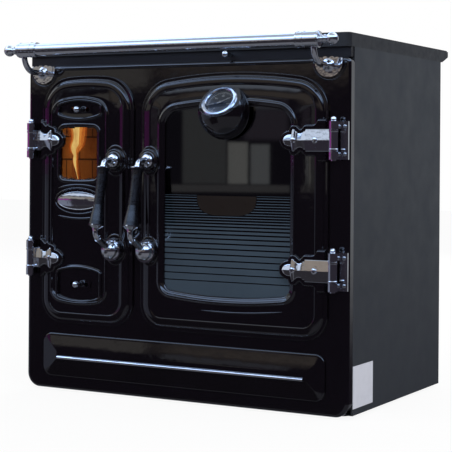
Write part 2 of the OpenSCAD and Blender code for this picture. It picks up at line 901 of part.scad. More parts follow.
module damper_rod() {
    plate_w = 120;
    plate_thick = 3;
    over_oven = 6;
    under_hob = 8;
    z0 = mouth_z1 + oven_t + over_oven;
    z1 = hob_z - under_hob;
    color("gray") {
        facing(damper_x, damper_z, -(damper_y1 - fy)) cylinder(r = rod_r, h = damper_y1 - fy + rod_out);
        box([damper_x - plate_w / 2, damper_y1 - plate_thick, z0],
            [damper_x + plate_w / 2, damper_y1, z1]);
    }
}

module damper_knob() {
    knob_r = 8;
    neck = 4;
    color("gainsboro") facing(damper_x, damper_z, rod_out) {
        cylinder(r = rod_r + 1, h = neck);
        translate([0, 0, neck - 1 + knob_r]) sphere(r = knob_r);
    }
}

// Hinges and closing

// Outline of a strap of length l: plain body, scalloped waist, two lobes and a round tip
module strap_2d(l) {
    h = strap_h / 2;
    lobe_r = 4.6;
    lobe_e = 26.5;
    waist_r = 12;
    waist_e = 43;
    tip_r = h * 0.52;
    nip_r = 8;
    body_e = waist_e + waist_r + 2;
    waist_cut = 2.5;
    translate([-l, 0]) difference() {
        union() {
            translate([body_e, -h]) square([l - body_e, 2 * h]);
            translate([lobe_e - lobe_r, -h + lobe_r]) square([l - lobe_e, 2 * (h - lobe_r)]);
            for (s = [-1, 1]) translate([lobe_e, s * (h - lobe_r)]) circle(r = lobe_r);
            translate([tip_r, 0]) circle(r = tip_r);
            translate([tip_r, -tip_r + 0.5]) square([lobe_e - tip_r, 2 * tip_r - 1]);
        }
        for (s = [-1, 1]) {
            translate([waist_e, s * (h + waist_cut)]) circle(r = waist_r);
            translate([lobe_e - lobe_r - nip_r + 2, s * (tip_r + nip_r)]) circle(r = nip_r);
        }
    }
}

// One door strap with its knuckle, drawn for the right side with the pin at x = pin_x
module strap(z, l) {
    difference() {
        union() {
            translate([pin_x, 0, z]) front_prism(pad_h, pad_h + strap_t) strap_2d(l);
            translate([pin_x, pin_y, z - strap_h / 2]) cylinder(r = knuckle_r, h = strap_h);
        }
        translate([pin_x, pin_y, z - strap_h]) cylinder(r = bore_r, h = 2 * strap_h);
    }
}

// One frame leaf with its two knuckles, drawn for the right side
module leaf(z) {
    lap = (hinge_h - strap_h) / 2 - knuckle_gap;
    difference() {
        union() {
            box([pin_x + leaf_in, fy - leaf_t, z - hinge_h / 2], [leaf_x1, fy, z + hinge_h / 2]);
            for (z0 = [z - hinge_h / 2, z + hinge_h / 2 - lap]) {
                translate([pin_x, pin_y, z0]) cylinder(r = knuckle_r, h = lap);
                box([pin_x, pin_y, z0], [pin_x + leaf_in + 5, fy - leaf_t + 1, z0 + lap]);
            }
        }
        translate([pin_x, pin_y, z - hinge_h]) cylinder(r = bore_r, h = 2 * hinge_h);
    }
}

// Hinge pin with a domed cap above and a plain head below
module pin(z) {
    cap = 7;
    cap_profile = [[0, 0], [cap - 1.5, 0], [cap, 2.5], [cap, 5], [cap - 1, 8], [cap - 3, 10], [0, 11]];
    head_t = 3;
    translate([pin_x, pin_y, z - hinge_h / 2]) cylinder(r = pin_r, h = hinge_h + head_t);
    translate([pin_x, pin_y, z + hinge_h / 2]) rotate_extrude() polygon(cap_profile);
    translate([pin_x, pin_y, z - hinge_h / 2 - head_t]) cylinder(r = cap - 1, h = head_t);
}

module hinge_leaves() {
    color("gainsboro") both_sides() for (z = hinge_zs) leaf(z);
}

module hinge_pins() {
    color("gainsboro") both_sides() for (z = hinge_zs) pin(z);
}

module screw_head(x, z, h, r = screw_r) {
    facing(x, z, h) difference() {
        rotate_extrude() polygon([[0, 0], [r, 0], [r, screw_h * 0.3], [r * 0.85, screw_h * 0.7],
            [r * 0.5, screw_h * 0.95], [0, screw_h]]);
        translate([-r, -0.6, screw_h * 0.7]) cube([2 * r, 1.2, screw_h]);
    }
}

module leaf_screws() {
    x = (pin_x + leaf_in + leaf_x1) / 2 + 2;
    color("silver") both_sides() for (z = hinge_zs, s = [-1, 1])
        screw_head(x, z + s * hinge_h * 0.36, leaf_t, 4.5);
}

// Screws along a strap of length l, each a distance e from its tip
module strap_screws(l, es) {
    for (z = hinge_zs, e = es) screw_head(pin_x - l + e, z, pad_h + strap_t);
}

module firebox_straps() {
    color("gainsboro") mirror([1, 0, 0]) for (z = hinge_zs) strap(z, strap_fire_l);
}

module firebox_strap_screws() {
    color("silver") mirror([1, 0, 0]) strap_screws(strap_fire_l, [screw_e]);
}

module oven_straps() {
    color("gainsboro") for (z = hinge_zs) strap(z, strap_oven_l);
}

module oven_strap_screws() {
    color("silver") strap_screws(strap_oven_l, [screw_e, screw_e + screw_pitch]);
}

// Catch blocks beside the mouths, one for each door's tongue
module catch_blocks() {
    depth = 13;
    root = 8;
    z0 = catch_z - catch_h / 2;
    color("silver") {
        box([mouth_fire_x1 - catch_in, wall_y, z0],
            [mouth_fire_x1 + root, wall_y + depth, z0 + catch_h]);
        box([mouth_oven_x0, wall_y, z0], [mouth_oven_x0 + catch_in, wall_y + depth, z0 + catch_h]);
    }
}

// Cranked tongue on a door's back, its outer face at x and its blade towards dir
module tongue(x, dir) {
    reach = 10;
    foot_in = 4.5;
    foot_deep = 2.5;
    z = catch_z - catch_h / 4;
    hgt = catch_h / 2;
    crank_h = -tongue_t;
    front_prism(-cast_wall - reach, crank_h + tongue_t - 0.5) span([x, z], dir * tongue_t, hgt);
    front_prism(crank_h, crank_h + tongue_t - 0.5)
        span([x - dir * foot_in, z], dir * (foot_in + tongue_t), hgt);
    front_prism(crank_h, door_clear + foot_deep) span([x - dir * foot_in, z], dir * tongue_t, hgt);
}

// Front doors

// Cast firebox door
module firebox_door() {
    rings = concat(
        [for (s = back_profile) ring(fire_outline(s[0]), fire_cx, s[1])],
        [for (s = roll_profile) ring(fire_outline(s[0]), fire_cx, s[1])],
        [for (s = panel_profile) ring(panel_outline(s[0]), panel_cx, s[1])]
    );
    color("#0b0a0e") difference() {
        union() {
            loft(rings);
            door_pads(fire_x1 - grip_fire);
            mirror([1, 0, 0]) strap_pads(strap_fire_l);
            tongue(mouth_fire_x1 - tongue_in, -1);
            for (v = registers)
                front_prism(panel_h - 1, ridge_h - 0.5) translate([panel_cx, v[0]])
                polygon(air_outline(v[1], 0));
        }
        front_prism(door_clear - cut_over, panel_h + cut_over) translate([face_cx, 0])
            polygon(fire_window_outline(0));
        front_prism(door_clear - cut_over, lip_h) translate([face_cx, 0])
            polygon(fire_window_outline(-fire_glass_over - loose));
        for (v = registers) {
            front_prism(lens_floor, ridge_h + cut_over) translate([panel_cx, v[0]])
                polygon(air_outline(v[1], lens_rim));
            for (s = [-1, 1])
                stud(panel_cx + s * air_hole_x, v[0], air_hole_r, -cut_over, lens_floor + cut_over);
            front_prism(-cut_over, lens_floor + cut_over) translate([panel_cx, v[0]])
                square([2 * (air_travel + stem_r + loose), 2 * (stem_r + loose)], center = true);
        }
    }
}

// Middle height and half height of each air register
registers = [[lens_up_z, lens_up], [lens_low_z, lens_low]];
// Inset and height of a door's face, from its back edge over the roll to the flat band
roll_profile = [
    [0, door_clear], [0, 3], [1.5, roll_h - 7.4], [4.5, roll_h - 5.2], [9, roll_h - 2.7],
    [14, roll_h - 1], [19, roll_h - 0.1], [22, roll_h], [24.5, roll_h - 0.8], [27, band_h]
];
// Inset and height of the raised line round the firebox door's panel
panel_profile = [[-12, band_h], [-9, ridge_h], [-5, ridge_h], [-2, panel_h]];
// Inset and height over a door's back, from the inner edge of its gasket groove to the outer one
back_profile = [
    [seal_in + seal_w, door_clear], [seal_in + seal_w, groove_h], [seal_in, groove_h],
    [seal_in, door_clear]
];

// Cast pads under the two handle bosses
module door_pads(x) {
    stud(x, grip_z1, pad_r, band_h - pad_root, pad_h);
    stud(x, grip_z0, pad_r, band_h - pad_root, low_pad_h);
}
grip_z1 = door_z1 - grip_top;
grip_z0 = grip_z1 - grip_span;

// Cast pads under straps of length l, drawn for the right side
module strap_pads(l) {
    margin = 5;
    edge_in = 8;
    corner = 14;
    half = strap_h / 2 + margin;
    x0 = pin_x - l - margin;
    x1 = oven_x1 - edge_in;
    for (z = hinge_zs)
        front_prism(band_h - pad_root, pad_h)
            polygon(slab_at((x0 + x1) / 2, x1 - x0, z - half, z + half, corner));
}

function slab_at(cx, w, v0, v1, r) = [for (p = slab(w, v0, v1, r, r)) [p[0] + cx, p[1]]];

module firebox_glass() {
    color("darkorange", 0.5) front_prism(lip_h - glass_t, lip_h) translate([face_cx, 0])
        polygon(fire_window_outline(-fire_glass_over));
}

module firebox_glass_clips() {
    w = 16;
    on_glass = 3;
    on_door = fire_glass_over + 7;
    color("silver") front_prism(door_clear - clip_t, door_clear)
        for (x = [-1, 1], z = [fire_win_z0 - on_door, fire_win_z1 - on_glass])
        translate([face_cx + x * fire_win_w / 4 - w / 2, z]) square([w, on_glass + on_door]);
}

module firebox_gasket() {
    color("lightgray") gasket(fire_cx) {
        polygon(fire_outline(seal_in + 0.5));
        polygon(fire_outline(seal_in + 0.5 + seal_d));
    }
}

// Rope gasket in a door's groove
module gasket(cx) {
    front_prism(seal_clear, groove_h) translate([cx, 0]) difference() {
        children(0);
        children(1);
    }
}

module badge_plate() {
    color("silver") front_prism(panel_h, panel_h + badge_t) translate([face_cx, badge_z])
        polygon([for (a = [0:7.5:352.5]) [badge_l / 2 * cos(a), badge_hgt / 2 * sin(a)]]);
}

// Sideways sliding shutter of an air recess, with its stem and rear keeper
module air_slide(z) {
    front_prism(lens_floor + gap, lens_floor + gap + slide_t) translate([panel_cx, z]) difference() {
        square([2 * slide_l, 2 * slide_hgt], center = true);
        for (s = [-1, 1]) translate([s * air_hole_x, 0]) circle(r = air_hole_r);
    }
    keeper = 14;
    keeper_t = 2;
    back = door_clear - gap;
    stud(panel_cx, z, stem_r, back - keeper_t - 1, lens_floor + gap + slide_t + stem_out);
    front_prism(back - keeper_t, back) translate([panel_cx, z]) square([keeper, keeper], center = true);
}

module air_slide_upper() {
    color("#1a1a1e") air_slide(lens_up_z);
}

module air_slide_lower() {
    color("#1a1a1e") air_slide(lens_low_z);
}

module air_knob(z) {
    neck = 3;
    facing(panel_cx, z, lens_floor + gap + slide_t + stem_out) {
        cylinder(r = stem_r + 1.5, h = neck);
        translate([0, 0, neck - 1 + air_knob_r]) sphere(r = air_knob_r);
    }
}

module air_knob_upper() {
    color("gainsboro") air_knob(lens_up_z);
}

module air_knob_lower() {
    color("gainsboro") air_knob(lens_low_z);
}

// Handles

// Handle metalwork in its own plane, h forward along X and the upper boss at z = 0
module handle_metal() {
    // Upper boss with its neck, then the elbow and the bell
    rotate([0, 90, 0]) translate([0, 0, pad_h]) rotate_extrude() polygon([[0, 0], [boss_r, 0],
        [boss_r, 2], [boss_r - 2, 3.2], [19, 3.8], [18.5, 6], [17, 9.5], [13.5, 13], [9, 15],
        [neck_r + 1, 17], [neck_r, 19], [neck_r, neck_out - pad_h], [0, neck_out - pad_h]]);
    translate([neck_out, 0, -neck_bend]) rotate([90, 0, 0])
        rotate_extrude(start = grip_lean, angle = 90 - grip_lean)
        translate([neck_bend, 0]) circle(r = neck_r);
    translate([elbow_h, 0, -elbow_drop]) rotate([0, 180 - grip_lean, 0])
        rotate_extrude() polygon([[0, -1], [neck_r + 1, -1], [neck_r + 1.5, 1.5],
            [grip_r + bell_flare, bell_up - 2], [grip_r + bell_flare, bell_up], [0, bell_up]]);
    // Lower bell, then the bend, the straight arm and the dome
    translate([low_h, 0, -low_drop]) rotate([0, 180 - grip_lean, 0])
        rotate_extrude() polygon([[0, -bell_low], [grip_r_low, -bell_low],
            [grip_r_low, -bell_low + flange_t], [grip_r_low - 4, -bell_low + 2 * flange_t],
            [neck_r + 1.5, -3], [neck_r + 1, 1], [0, 1]]);
    translate([low_c[0], 0, low_c[1]]) rotate([90, 0, 0])
        rotate_extrude(start = low_a, angle = grip_lean - low_a)
        translate([low_bend, 0]) circle(r = neck_r);
    translate([low_c[0] + low_bend * cos(low_a), 0, low_c[1] + low_bend * sin(low_a)])
        rotate([0, 180 - low_a, 0])
        rotate_extrude() polygon([[0, -1], [neck_r + 0.8, -1], [neck_r + 1.5, low_arm], [0, low_arm]]);
    translate([low_pad_h, 0, -grip_span]) rotate([0, 90, 0]) rotate_extrude() polygon(concat(
        [[0, 0], [boss_r, 0], [boss_r, dome_base]],
        [for (a = [0:14:84]) [dome_r * cos(a), dome_base + dome_r * 0.95 * sin(a)]],
        [[0, dome_base + dome_r * 0.95]]));
}
dome_base = 3;

module handle_grip() {
    translate([elbow_h, 0, -elbow_drop]) rotate([0, 180 - grip_lean, 0]) translate([0, 0, bell_up])
        rotate_extrude() polygon(concat([[0, 0]],
            [for (s = grip_shape) [grip_r + s[1], grip_l * s[0]]], [[0, grip_l]]));
}

// Sets a handle drawn in its own plane on a door
module on_door(x) {
    translate([x, fy, grip_z1]) rotate([0, 0, -90]) children();
}

module firebox_handle() {
    color("gainsboro") on_door(fire_x1 - grip_fire) handle_metal();
}

module firebox_grip() {
    color("#15151a") on_door(fire_x1 - grip_fire) handle_grip();
}

module oven_handle() {
    color("gainsboro") on_door(oven_x0 + grip_oven) handle_metal();
}

module oven_grip() {
    color("#15151a") on_door(oven_x0 + grip_oven) handle_grip();
}

// Cast oven door
module oven_door() {
    rings = concat(
        [for (s = back_profile) ring(oven_outline(s[0]), oven_cx, s[1])],
        [for (s = roll_profile) ring(oven_outline(s[0]), oven_cx, s[1])],
        [for (s = window_profile) ring(window_outline(s[0]), win_cx, s[1])]
    );
    color("#0b0a0e") difference() {
        union() {
            loft(rings, closed = true);
            door_pads(oven_x0 + grip_oven);
            strap_pads(strap_oven_l);
            tongue(mouth_oven_x0 + tongue_in, 1);
        }
        stud(win_cx, probe_z, probe_r + 1, -cut_over, ridge_h + cut_over);
    }
}
// Inset and height from the flat band over the window's raised line to the glass rebate
window_profile = [
    [-18, band_h], [-15, ridge_h], [-10, ridge_h], [-6, band_h - 1], [0, lip_h + 3], [0, lip_h],
    [-ledge_w - 0.5, lip_h], [-ledge_w - 0.5, door_clear]
];
probe_r = 2.5;
probe_z = win_z1 + ledge_w + probe_r + 2.5;

module oven_glass() {
    color("slategray", 0.5) front_prism(lip_h - glass_t, lip_h) translate([win_cx, 0])
        polygon(window_outline(-ledge_w));
}

module oven_glass_inner() {
    color("lightgray", 0.4) front_prism(door_clear - pane_gap - glass_t, door_clear - pane_gap)
        translate([win_cx, 0]) polygon(window_outline(pane_in));
}

// Clips behind the oven door, each a channel that also holds the inner pane
module oven_glass_clips() {
    w = 16;
    on_door = ledge_w + 6;
    on_glass = 8;
    web = 4;
    root = 0.5;
    back = door_clear - pane_gap - glass_t;
    color("silver") for (s = [-1, 1], side = [0, 1]) {
        x = win_cx + s * win_w * 0.15 - w / 2;
        edge = side == 0 ? win_z0 : win_z1;
        dir = side == 0 ? 1 : -1;
        front_prism(door_clear - clip_t, door_clear)
            span([x, edge - dir * on_door], w, dir * (on_door + on_glass));
        front_prism(back - clip_t, door_clear - clip_t + root)
            span([x, edge - dir * web], w, dir * web);
        front_prism(back - clip_t, back) span([x, edge - dir * web], w, dir * (web + on_glass));
        front_prism(door_clear - pane_gap, door_clear - clip_t + root)
            span([x, edge - dir * web], w, dir * (web + on_glass));
    }
}

// Rectangle from a point, running sideways by w and up or down by hgt
module span(p, w, hgt) {
    translate([min(p[0], p[0] + w), min(p[1], p[1] + hgt)]) square([abs(w), abs(hgt)]);
}

module oven_gasket() {
    color("lightgray") gasket(oven_cx) {
        polygon(oven_outline(seal_in + 0.5));
        polygon(oven_outline(seal_in + 0.5 + seal_d));
    }
}

// Thermometer: a domed housing cut by the tilted dial plane
therm_z = win_z1 - 15;
dial_up = 24;
dial_out = 25.6;
pocket_d = 7;
bezel_t = 5;

// Places a solid on the dial plane, its Z along the dial's outward normal
module on_dial() {
    translate([win_cx, fy - ridge_h - dial_out, therm_z + dial_up]) rotate([90 - dial_tilt, 0, 0]) children();
}

module thermometer_housing() {
    n = 10;
    color("#0b0a0e") difference() {
        union() {
            facing(win_cx, therm_z, ridge_h) rotate_extrude() polygon(concat(
                [[0, 0], [therm_r, 0], [therm_r, 2]],
                [for (i = [1:n - 1]) let (a = 90 * i / n)
                    [(therm_r - 1.5) * cos(a), 2 + (therm_d - 2) * sin(a)]],
                [[0, therm_d]]));
            stud(win_cx, probe_z, probe_r, -30, ridge_h + 1);
        }
        on_dial() {
            translate([-2 * therm_r, -2 * therm_r, 0]) cube([4 * therm_r, 4 * therm_r, 3 * therm_r]);
            translate([0, 0, -pocket_d]) cylinder(r = dial_r + 1, h = pocket_d + 1);
        }
    }
}

module thermometer_bezel() {
    color("gainsboro") on_dial() rotate_extrude() polygon([[dial_r + 1, 0], [bezel_r, 0], [bezel_r, 1.5],
        [bezel_r - 2, 3.5], [bezel_r - 5, bezel_t], [dial_r + 3, bezel_t - 1], [dial_r + 1, bezel_t - 3]]);
}

module thermometer_dial() {
    color("#20222a") on_dial() {
        translate([0, 0, -pocket_d]) cylinder(r = dial_r, h = 2);
        translate([0, 0, -pocket_d]) cylinder(r = 2, h = 4);
    }
}

module thermometer_needle() {
    color("lightgray") on_dial() translate([0, 0, -pocket_d + 4 + gap]) {
        cylinder(r = 3, h = 1);
        rotate([0, 0, 30]) linear_extrude(1) polygon([[-8, -1.6], [-8, 1.6], [26, 0.5], [26, -0.5]]);
    }
}

// Drawer

module drawer_front() {
    w = 2 * drawer_x;
    corner = 25;
    field_in = 46;
    profile = [[0, 2.5], [1, 4], [3, 5.4], [6, 6.2]];
    rings = concat(
        [ring(slab(w, drawer_z0, drawer_z1, corner, corner, 0), 0, door_clear)],
        [for (p = profile) ring(slab(w, drawer_z0, drawer_z1, corner, corner, p[0]), 0, p[1])],
        [ring(slab(w - 2 * field_in, drawer_z0 + field_in, drawer_z1 - field_in, 6, 6, 0), 0,
            drawer_field)]
    );
    color("#0b0a0e") loft(rings);
}

module drawer_box() {
    t = 1.5;
    top_in = 18;
    x1 = drawer_x - drawer_box_in;
    y0 = fy - door_clear;
    y1 = fy + drawer_d;
    z0 = drawer_z0 + drawer_floor;
    z1 = drawer_z1 - top_in;
    color("#55565a") difference() {
        box([-x1, y0, z0], [x1, y1, z1]);
        box([-x1 + t, y0 + t, z0 + t], [x1 - t, y1 - t, z1 + cut_over]);
    }
}

module drawer_strip() {
    hgt = 9;
    out = 7;
    drop = 5;
    z = (drawer_z0 + drawer_z1) / 2 - drop;
    color("gainsboro") translate([-strip_l / 2, fy - drawer_field, z]) rotate([0, 90, 0])
        linear_extrude(strip_l) polygon([for (a = [0:15:180]) [hgt / 2 * cos(a), -out * sin(a)]]);
}

module drawer_runners() {
    side_in = 10;
    front_in = 2;
    back_in = 30;
    base_w = 20;
    top_w = 16;
    x1 = drawer_x - drawer_box_in - side_in;
    y0 = side_y0 + front_in;
    y1 = side_y1 - back_in;
    z0 = foot_h + sheet_t;
    top = drawer_z0 + drawer_floor - gap;
    color("silver") both_sides() {
        box([x1 - base_w, y0, z0], [x1, y1, z0 + runner_t]);
        box([x1 - runner_t, y0, z0], [x1, y1, top]);
        box([x1 - top_w, y0, top - runner_t], [x1, y1, top]);
    }
}

// Front rail

module rail_tube() {
    color("gainsboro") translate([-rail_end, rail_y, rail_z]) rotate([0, 90, 0]) difference() {
        cylinder(r = rail_r, h = 2 * rail_end);
        translate([0, 0, -cut_over]) cylinder(r = rail_r - 1.5, h = 2 * rail_end + 2 * cut_over);
    }
}

// Rosette, arm and sleeve, drawn for the right side
module rail_bracket() {
    arm_z = rail_z - arm_drop;
    plate = 6;
    step_in = 5;
    step_t = 1.5;
    top_gap = 3;
    lobe_r = 8;
    lobe_low = 6;
    lobe_t = 2;
    ring_w = 4;
    boss = [[0, 0], [15, 0], [15, plate + 3], [11, plate + 6], [8.5, plate + 11], [arm_r, plate + 15],
        [0, plate + 15]];
    difference() {
        union() {
            intersection() {
                union() {
                    stud(rosette_x, rosette_z, rosette_r, 0, plate);
                    stud(rosette_x, rosette_z, rosette_r - step_in, 0, plate + step_t);
                }
                box([rosette_x - rosette_r, fy - 2 * plate, rosette_z - rosette_r],
                    [rosette_x + rosette_r, fy, cast_z1 - top_gap]);
            }
            for (x = [-21, -8, 8, 21])
                stud(rosette_x + x, cast_z1 - lobe_low - abs(x) * 0.15, lobe_r, 0, plate + lobe_t);
            facing(rosette_x, arm_z, 0) rotate_extrude() polygon(boss);
            stud(rosette_x, arm_z, arm_r, 0, rail_out - arm_bend);
            translate([rosette_x, fy - rail_out + arm_bend, arm_z + arm_bend]) rotate([0, 0, -90])
                rotate([90, 0, 0]) rotate_extrude(start = -90, angle = 90)
                translate([arm_bend, 0]) circle(r = arm_r);
            translate([rosette_x - sleeve_in, rail_y, rail_z]) rotate([0, 90, 0]) {
                cylinder(r = sleeve_r, h = sleeve_in + sleeve_out);
                for (x = [0, 15, sleeve_in + sleeve_out - ring_w]) translate([0, 0, x])
                    cylinder(r = sleeve_r + 1, h = ring_w);
            }
        }
        translate([rosette_x - sleeve_in - cut_over, rail_y, rail_z]) rotate([0, 90, 0])
            cylinder(r = rail_r + pin_fit, h = sleeve_in + sleeve_out + 2 * cut_over);
    }
}

module rail_brackets() {
    color("gainsboro") both_sides() rail_bracket();
}

module rail_finials() {
    x0 = rosette_x + sleeve_out;
    neck = 8;
    turned = [[0, 0], [sleeve_r - 0.5, 0], [sleeve_r - 0.5, 3], [neck + 1, 6], [neck, 10],
        [neck + 2, 14], [neck, 20], [0, 20]];
    color("gainsboro") both_sides() translate([x0, rail_y, rail_z]) rotate([0, 90, 0]) {
        translate([0, 0, rail_end - x0]) cylinder(r = rail_r, h = x0 - rail_end);
        rotate_extrude() polygon(turned);
        translate([0, 0, ball_x - x0]) sphere(r = ball_r);
    }
}

base_pan();
feet();
side_panel_left();
side_panel_right();
back_panel();
front_casting();
fascia();
hob_frame();
hob_plate();
hob_ring();
hob_lid();
firebox_shell();
firebricks();
fire_grate();
ash_pan();
oven_box();
oven_rack();
smoke_box();
flue_collar();
hinge_leaves();
hinge_pins();
leaf_screws();
catch_blocks();
drawer_runners();
rail_tube();
rail_brackets();
rail_finials();
rating_plate();
damper_rod();
damper_knob();
firebox_door();
firebox_glass();
firebox_glass_clips();
firebox_gasket();
firebox_straps();
firebox_strap_screws();
badge_plate();
firebox_handle();
firebox_grip();
air_slide_upper();
air_knob_upper();
air_slide_lower();
air_knob_lower();
oven_door();
oven_glass();
oven_glass_inner();
oven_glass_clips();
oven_gasket();
oven_straps();
oven_strap_screws();
oven_handle();
oven_grip();
thermometer_housing();
thermometer_bezel();
thermometer_dial();
thermometer_needle();
drawer_front();
drawer_box();
drawer_strip();
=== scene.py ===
"""Wood-burning range cooker: detailed fronts, materials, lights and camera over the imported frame."""

import json
import math

import bmesh
import bpy
from mathutils import Matrix, Vector

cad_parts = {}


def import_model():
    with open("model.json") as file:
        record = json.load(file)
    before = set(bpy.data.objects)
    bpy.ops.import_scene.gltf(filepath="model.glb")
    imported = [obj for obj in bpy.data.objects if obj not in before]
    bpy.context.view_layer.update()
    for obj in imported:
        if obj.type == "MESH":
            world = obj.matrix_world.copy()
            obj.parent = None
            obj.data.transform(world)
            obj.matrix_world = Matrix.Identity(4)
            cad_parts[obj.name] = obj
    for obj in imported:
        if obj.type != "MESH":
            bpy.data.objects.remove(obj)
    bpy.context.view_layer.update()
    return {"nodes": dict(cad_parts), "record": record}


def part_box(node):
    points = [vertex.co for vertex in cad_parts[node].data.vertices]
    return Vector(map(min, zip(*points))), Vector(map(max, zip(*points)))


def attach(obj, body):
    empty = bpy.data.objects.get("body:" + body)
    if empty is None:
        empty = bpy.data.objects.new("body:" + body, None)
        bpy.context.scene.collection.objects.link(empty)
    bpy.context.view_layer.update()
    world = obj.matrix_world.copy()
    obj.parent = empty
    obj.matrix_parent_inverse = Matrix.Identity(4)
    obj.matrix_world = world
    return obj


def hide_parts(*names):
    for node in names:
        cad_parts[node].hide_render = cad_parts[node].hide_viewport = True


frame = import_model()
NODES = frame["nodes"]
MM = 0.001


def corner(node, low=True):
    """A CAD node's lowest or highest corner, in millimetres."""
    return Vector(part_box(node)[0 if low else 1]) / MM


# Main planes, read from the frame
FY = corner("hob_frame").y
HALF_W = corner("side_panel_right", False).x
CAST_Z0 = corner("front_casting").z
CAST_Z1 = corner("fascia").z

# Doors, in millimetres, on the front plane
FIRE = dict(x0=-396, x1=-124, z0=172, z1=787, rise=14, sag=1)
OVEN = dict(x0=-102, x1=396, z0=172, z1=787, rise=26, sag=1)
WIN = dict(x0=-34, x1=302, z0=260, z1=708, rise=16, sag=12)
PANEL = dict(x0=-356, x1=-206, z0=231, z1=724, rise=14, sag=10)
PANE = dict(x0=-338.5, x1=-228.5, z0=530, z1=660, rise=3, sag=3)
BAND_H, PAD_H, RIDGE_H, PANEL_H = 11, 16.5, 14.5, 9
LIP_H, LENS_FLOOR, DOOR_CLEAR = 4.5, 5, 0.5
REGISTERS = [dict(x0=-350, x1=-212, z0=676, z1=731, rise=12, sag=12),
             dict(x0=-350, x1=-212, z0=224, z1=318, rise=12, sag=12)]
FACE_X, BADGE_Z, BADGE_L, BADGE_H = -283.5, 477, 127, 46
PIN_X, PIN_Y = 417, FY - 25
HINGE_ZS = (333, 627)
STRAP_H, STRAP_OVEN, STRAP_FIRE = 50, 130, 81
HANDLE_XS = {"firebox_door": -172, "oven_door": -74}
BOSS_ZS = (578, 361)
LOW_PAD_H = 29.5
# A strap's tip, shoulder and body: distance from its end, half height
TIP, SHOULDER, BODY = (20, 13.2), (21.9, 20.4), (57, 25.0)
# Round lobe, notch and waist on that outline: distance, half height of the centre, radius
LOBE, NOTCH, WAIST = (26.5, 20.4, 4.6), (15.9, 21, 8), (43, 27.5, 12)
THERM_X, THERM_Z, THERM_R, THERM_D = 134, 693, 65, 56
DIAL_C = Vector((THERM_X, FY - RIDGE_H - 25.6, 717))
DIAL_TILT = math.radians(40)
DIAL_R, POCKET_D, FACE_D = 34, 7, 4.9
TICK_R, FIGURE_R, FIGURE_H = 30, 20.5, 5.2

# Corner radii at the top and the bottom of each outline
DOOR_RS, WIN_RS, PANEL_RS, PANE_RS = (85, 62), (38, 22), (30, 26), (12, 12)

# Casting and drawer, in millimetres
CAST_D, CAST_WALL, CAST_EDGE, CAST_RS = 25, 8, 9, (35, 14)
MOUTH_IN = 50
DRAWER_MOUTH = (-376, 376, 52, 131)
DRAWER_X, DRAWER_Z0, DRAWER_Z1, DRAWER_R = 390, 38, 145, 25
BEAD_X, BEAD_R = 355, 5
ROSETTE_X, ROSETTE_Z, ROSETTE_RIM = 395, 803, 40
GRATE_TOP = 414

# The four corners of a rectangle, as signs
CORNERS = ((-1, -1), (1, -1), (1, 1), (-1, 1))


# Outline helpers

def arc(cx, cz, r, a0, a1, n):
    """Points of an arc in degrees, without its last point."""
    out = []
    for i in range(n):
        a = math.radians(a0 + (a1 - a0) * i / n)
        out.append((cx + r * math.cos(a), cz + r * math.sin(a)))
    return out


def bow(w, rise):
    """Radius of an arc over a width with a rise."""
    return (w * w / 4 + rise * rise) / (2 * rise)


def shield(f, rt, rb, d=0.0, counts=(16, 48, 32)):
    """Arched outline of a front piece, inset by d; every inset has the same number of points."""
    w, cx = f["x1"] - f["x0"], (f["x0"] + f["x1"]) / 2
    top, low = bow(w, f["rise"]), bow(w, f["sag"])
    t1 = math.sqrt((top - rt) ** 2 - (w / 2 - rt) ** 2)
    t0 = math.sqrt((low - rb) ** 2 - (w / 2 - rb) ** 2)
    at = math.degrees(math.atan2(t1, w / 2 - rt))
    ab = math.degrees(math.atan2(t0, w / 2 - rb))
    zt, zb = f["z1"] - top, f["z0"] + low
    nc, nt, nb = counts
    pts = arc(w / 2 - rb, zb - t0, rb - d, -ab, 0, nc)
    pts += arc(w / 2 - rt, zt + t1, rt - d, 0, at, nc)
    pts += arc(0, zt, top - d, at, 180 - at, nt)
    pts += arc(-w / 2 + rt, zt + t1, rt - d, 180 - at, 180, nc)
    pts += arc(-w / 2 + rb, zb - t0, rb - d, 180, 180 + ab, nc)
    pts += arc(0, zb, low - d, 180 + ab, 360 - ab, nb)
    return [(x + cx, z) for x, z in pts]


def fire_outline(d=0.0):
    return shield(FIRE, *DOOR_RS, d)


def oven_outline(d=0.0):
    return shield(OVEN, *DOOR_RS, d)


def window_outline(d=0.0):
    return shield(WIN, *WIN_RS, d)


def panel_outline(d=0.0):
    return shield(PANEL, *PANEL_RS, d)


def pane_outline(d=0.0):
    return shield(PANE, *PANE_RS, d)


def slab(x0, x1, z0, z1, r0, r1, d=0.0, n=12):
    """Rounded rectangle, inset by d."""
    pts = arc(x1 - r0, z0 + r0, r0 - d, -90, 0, n) + arc(x1 - r1, z1 - r1, r1 - d, 0, 90, n)
    return pts + arc(x0 + r1, z1 - r1, r1 - d, 90, 180, n) + arc(x0 + r0, z0 + r0, r0 - d, 180, 270, n)


def register_outline(f, d=0.0):
    return shield(f, 14, 14, d, (10, 24, 24))


def ellipse(cx, cz, a, b, n=64):
    turns = [2 * math.pi * i / n for i in range(n)]
    return [(cx + a * math.cos(t), cz + b * math.sin(t)) for t in turns]


def smooth(points, step=4):
    """Catmull-Rom curve through points of any size, open at both ends."""
    out = []
    for i in range(len(points) - 1):
        p0 = points[max(i - 1, 0)]
        p1, p2 = points[i], points[i + 1]
        p3 = points[min(i + 2, len(points) - 1)]
        for k in range(step):
            t = k / step
            out.append(tuple(
                0.5 * (2 * b + (c - a) * t + (2 * a - 5 * b + 4 * c - d) * t * t
                       + (3 * b - a - 3 * c + d) * t ** 3)
                for a, b, c, d in zip(p0, p1, p2, p3)))
    return out + [tuple(points[-1])]


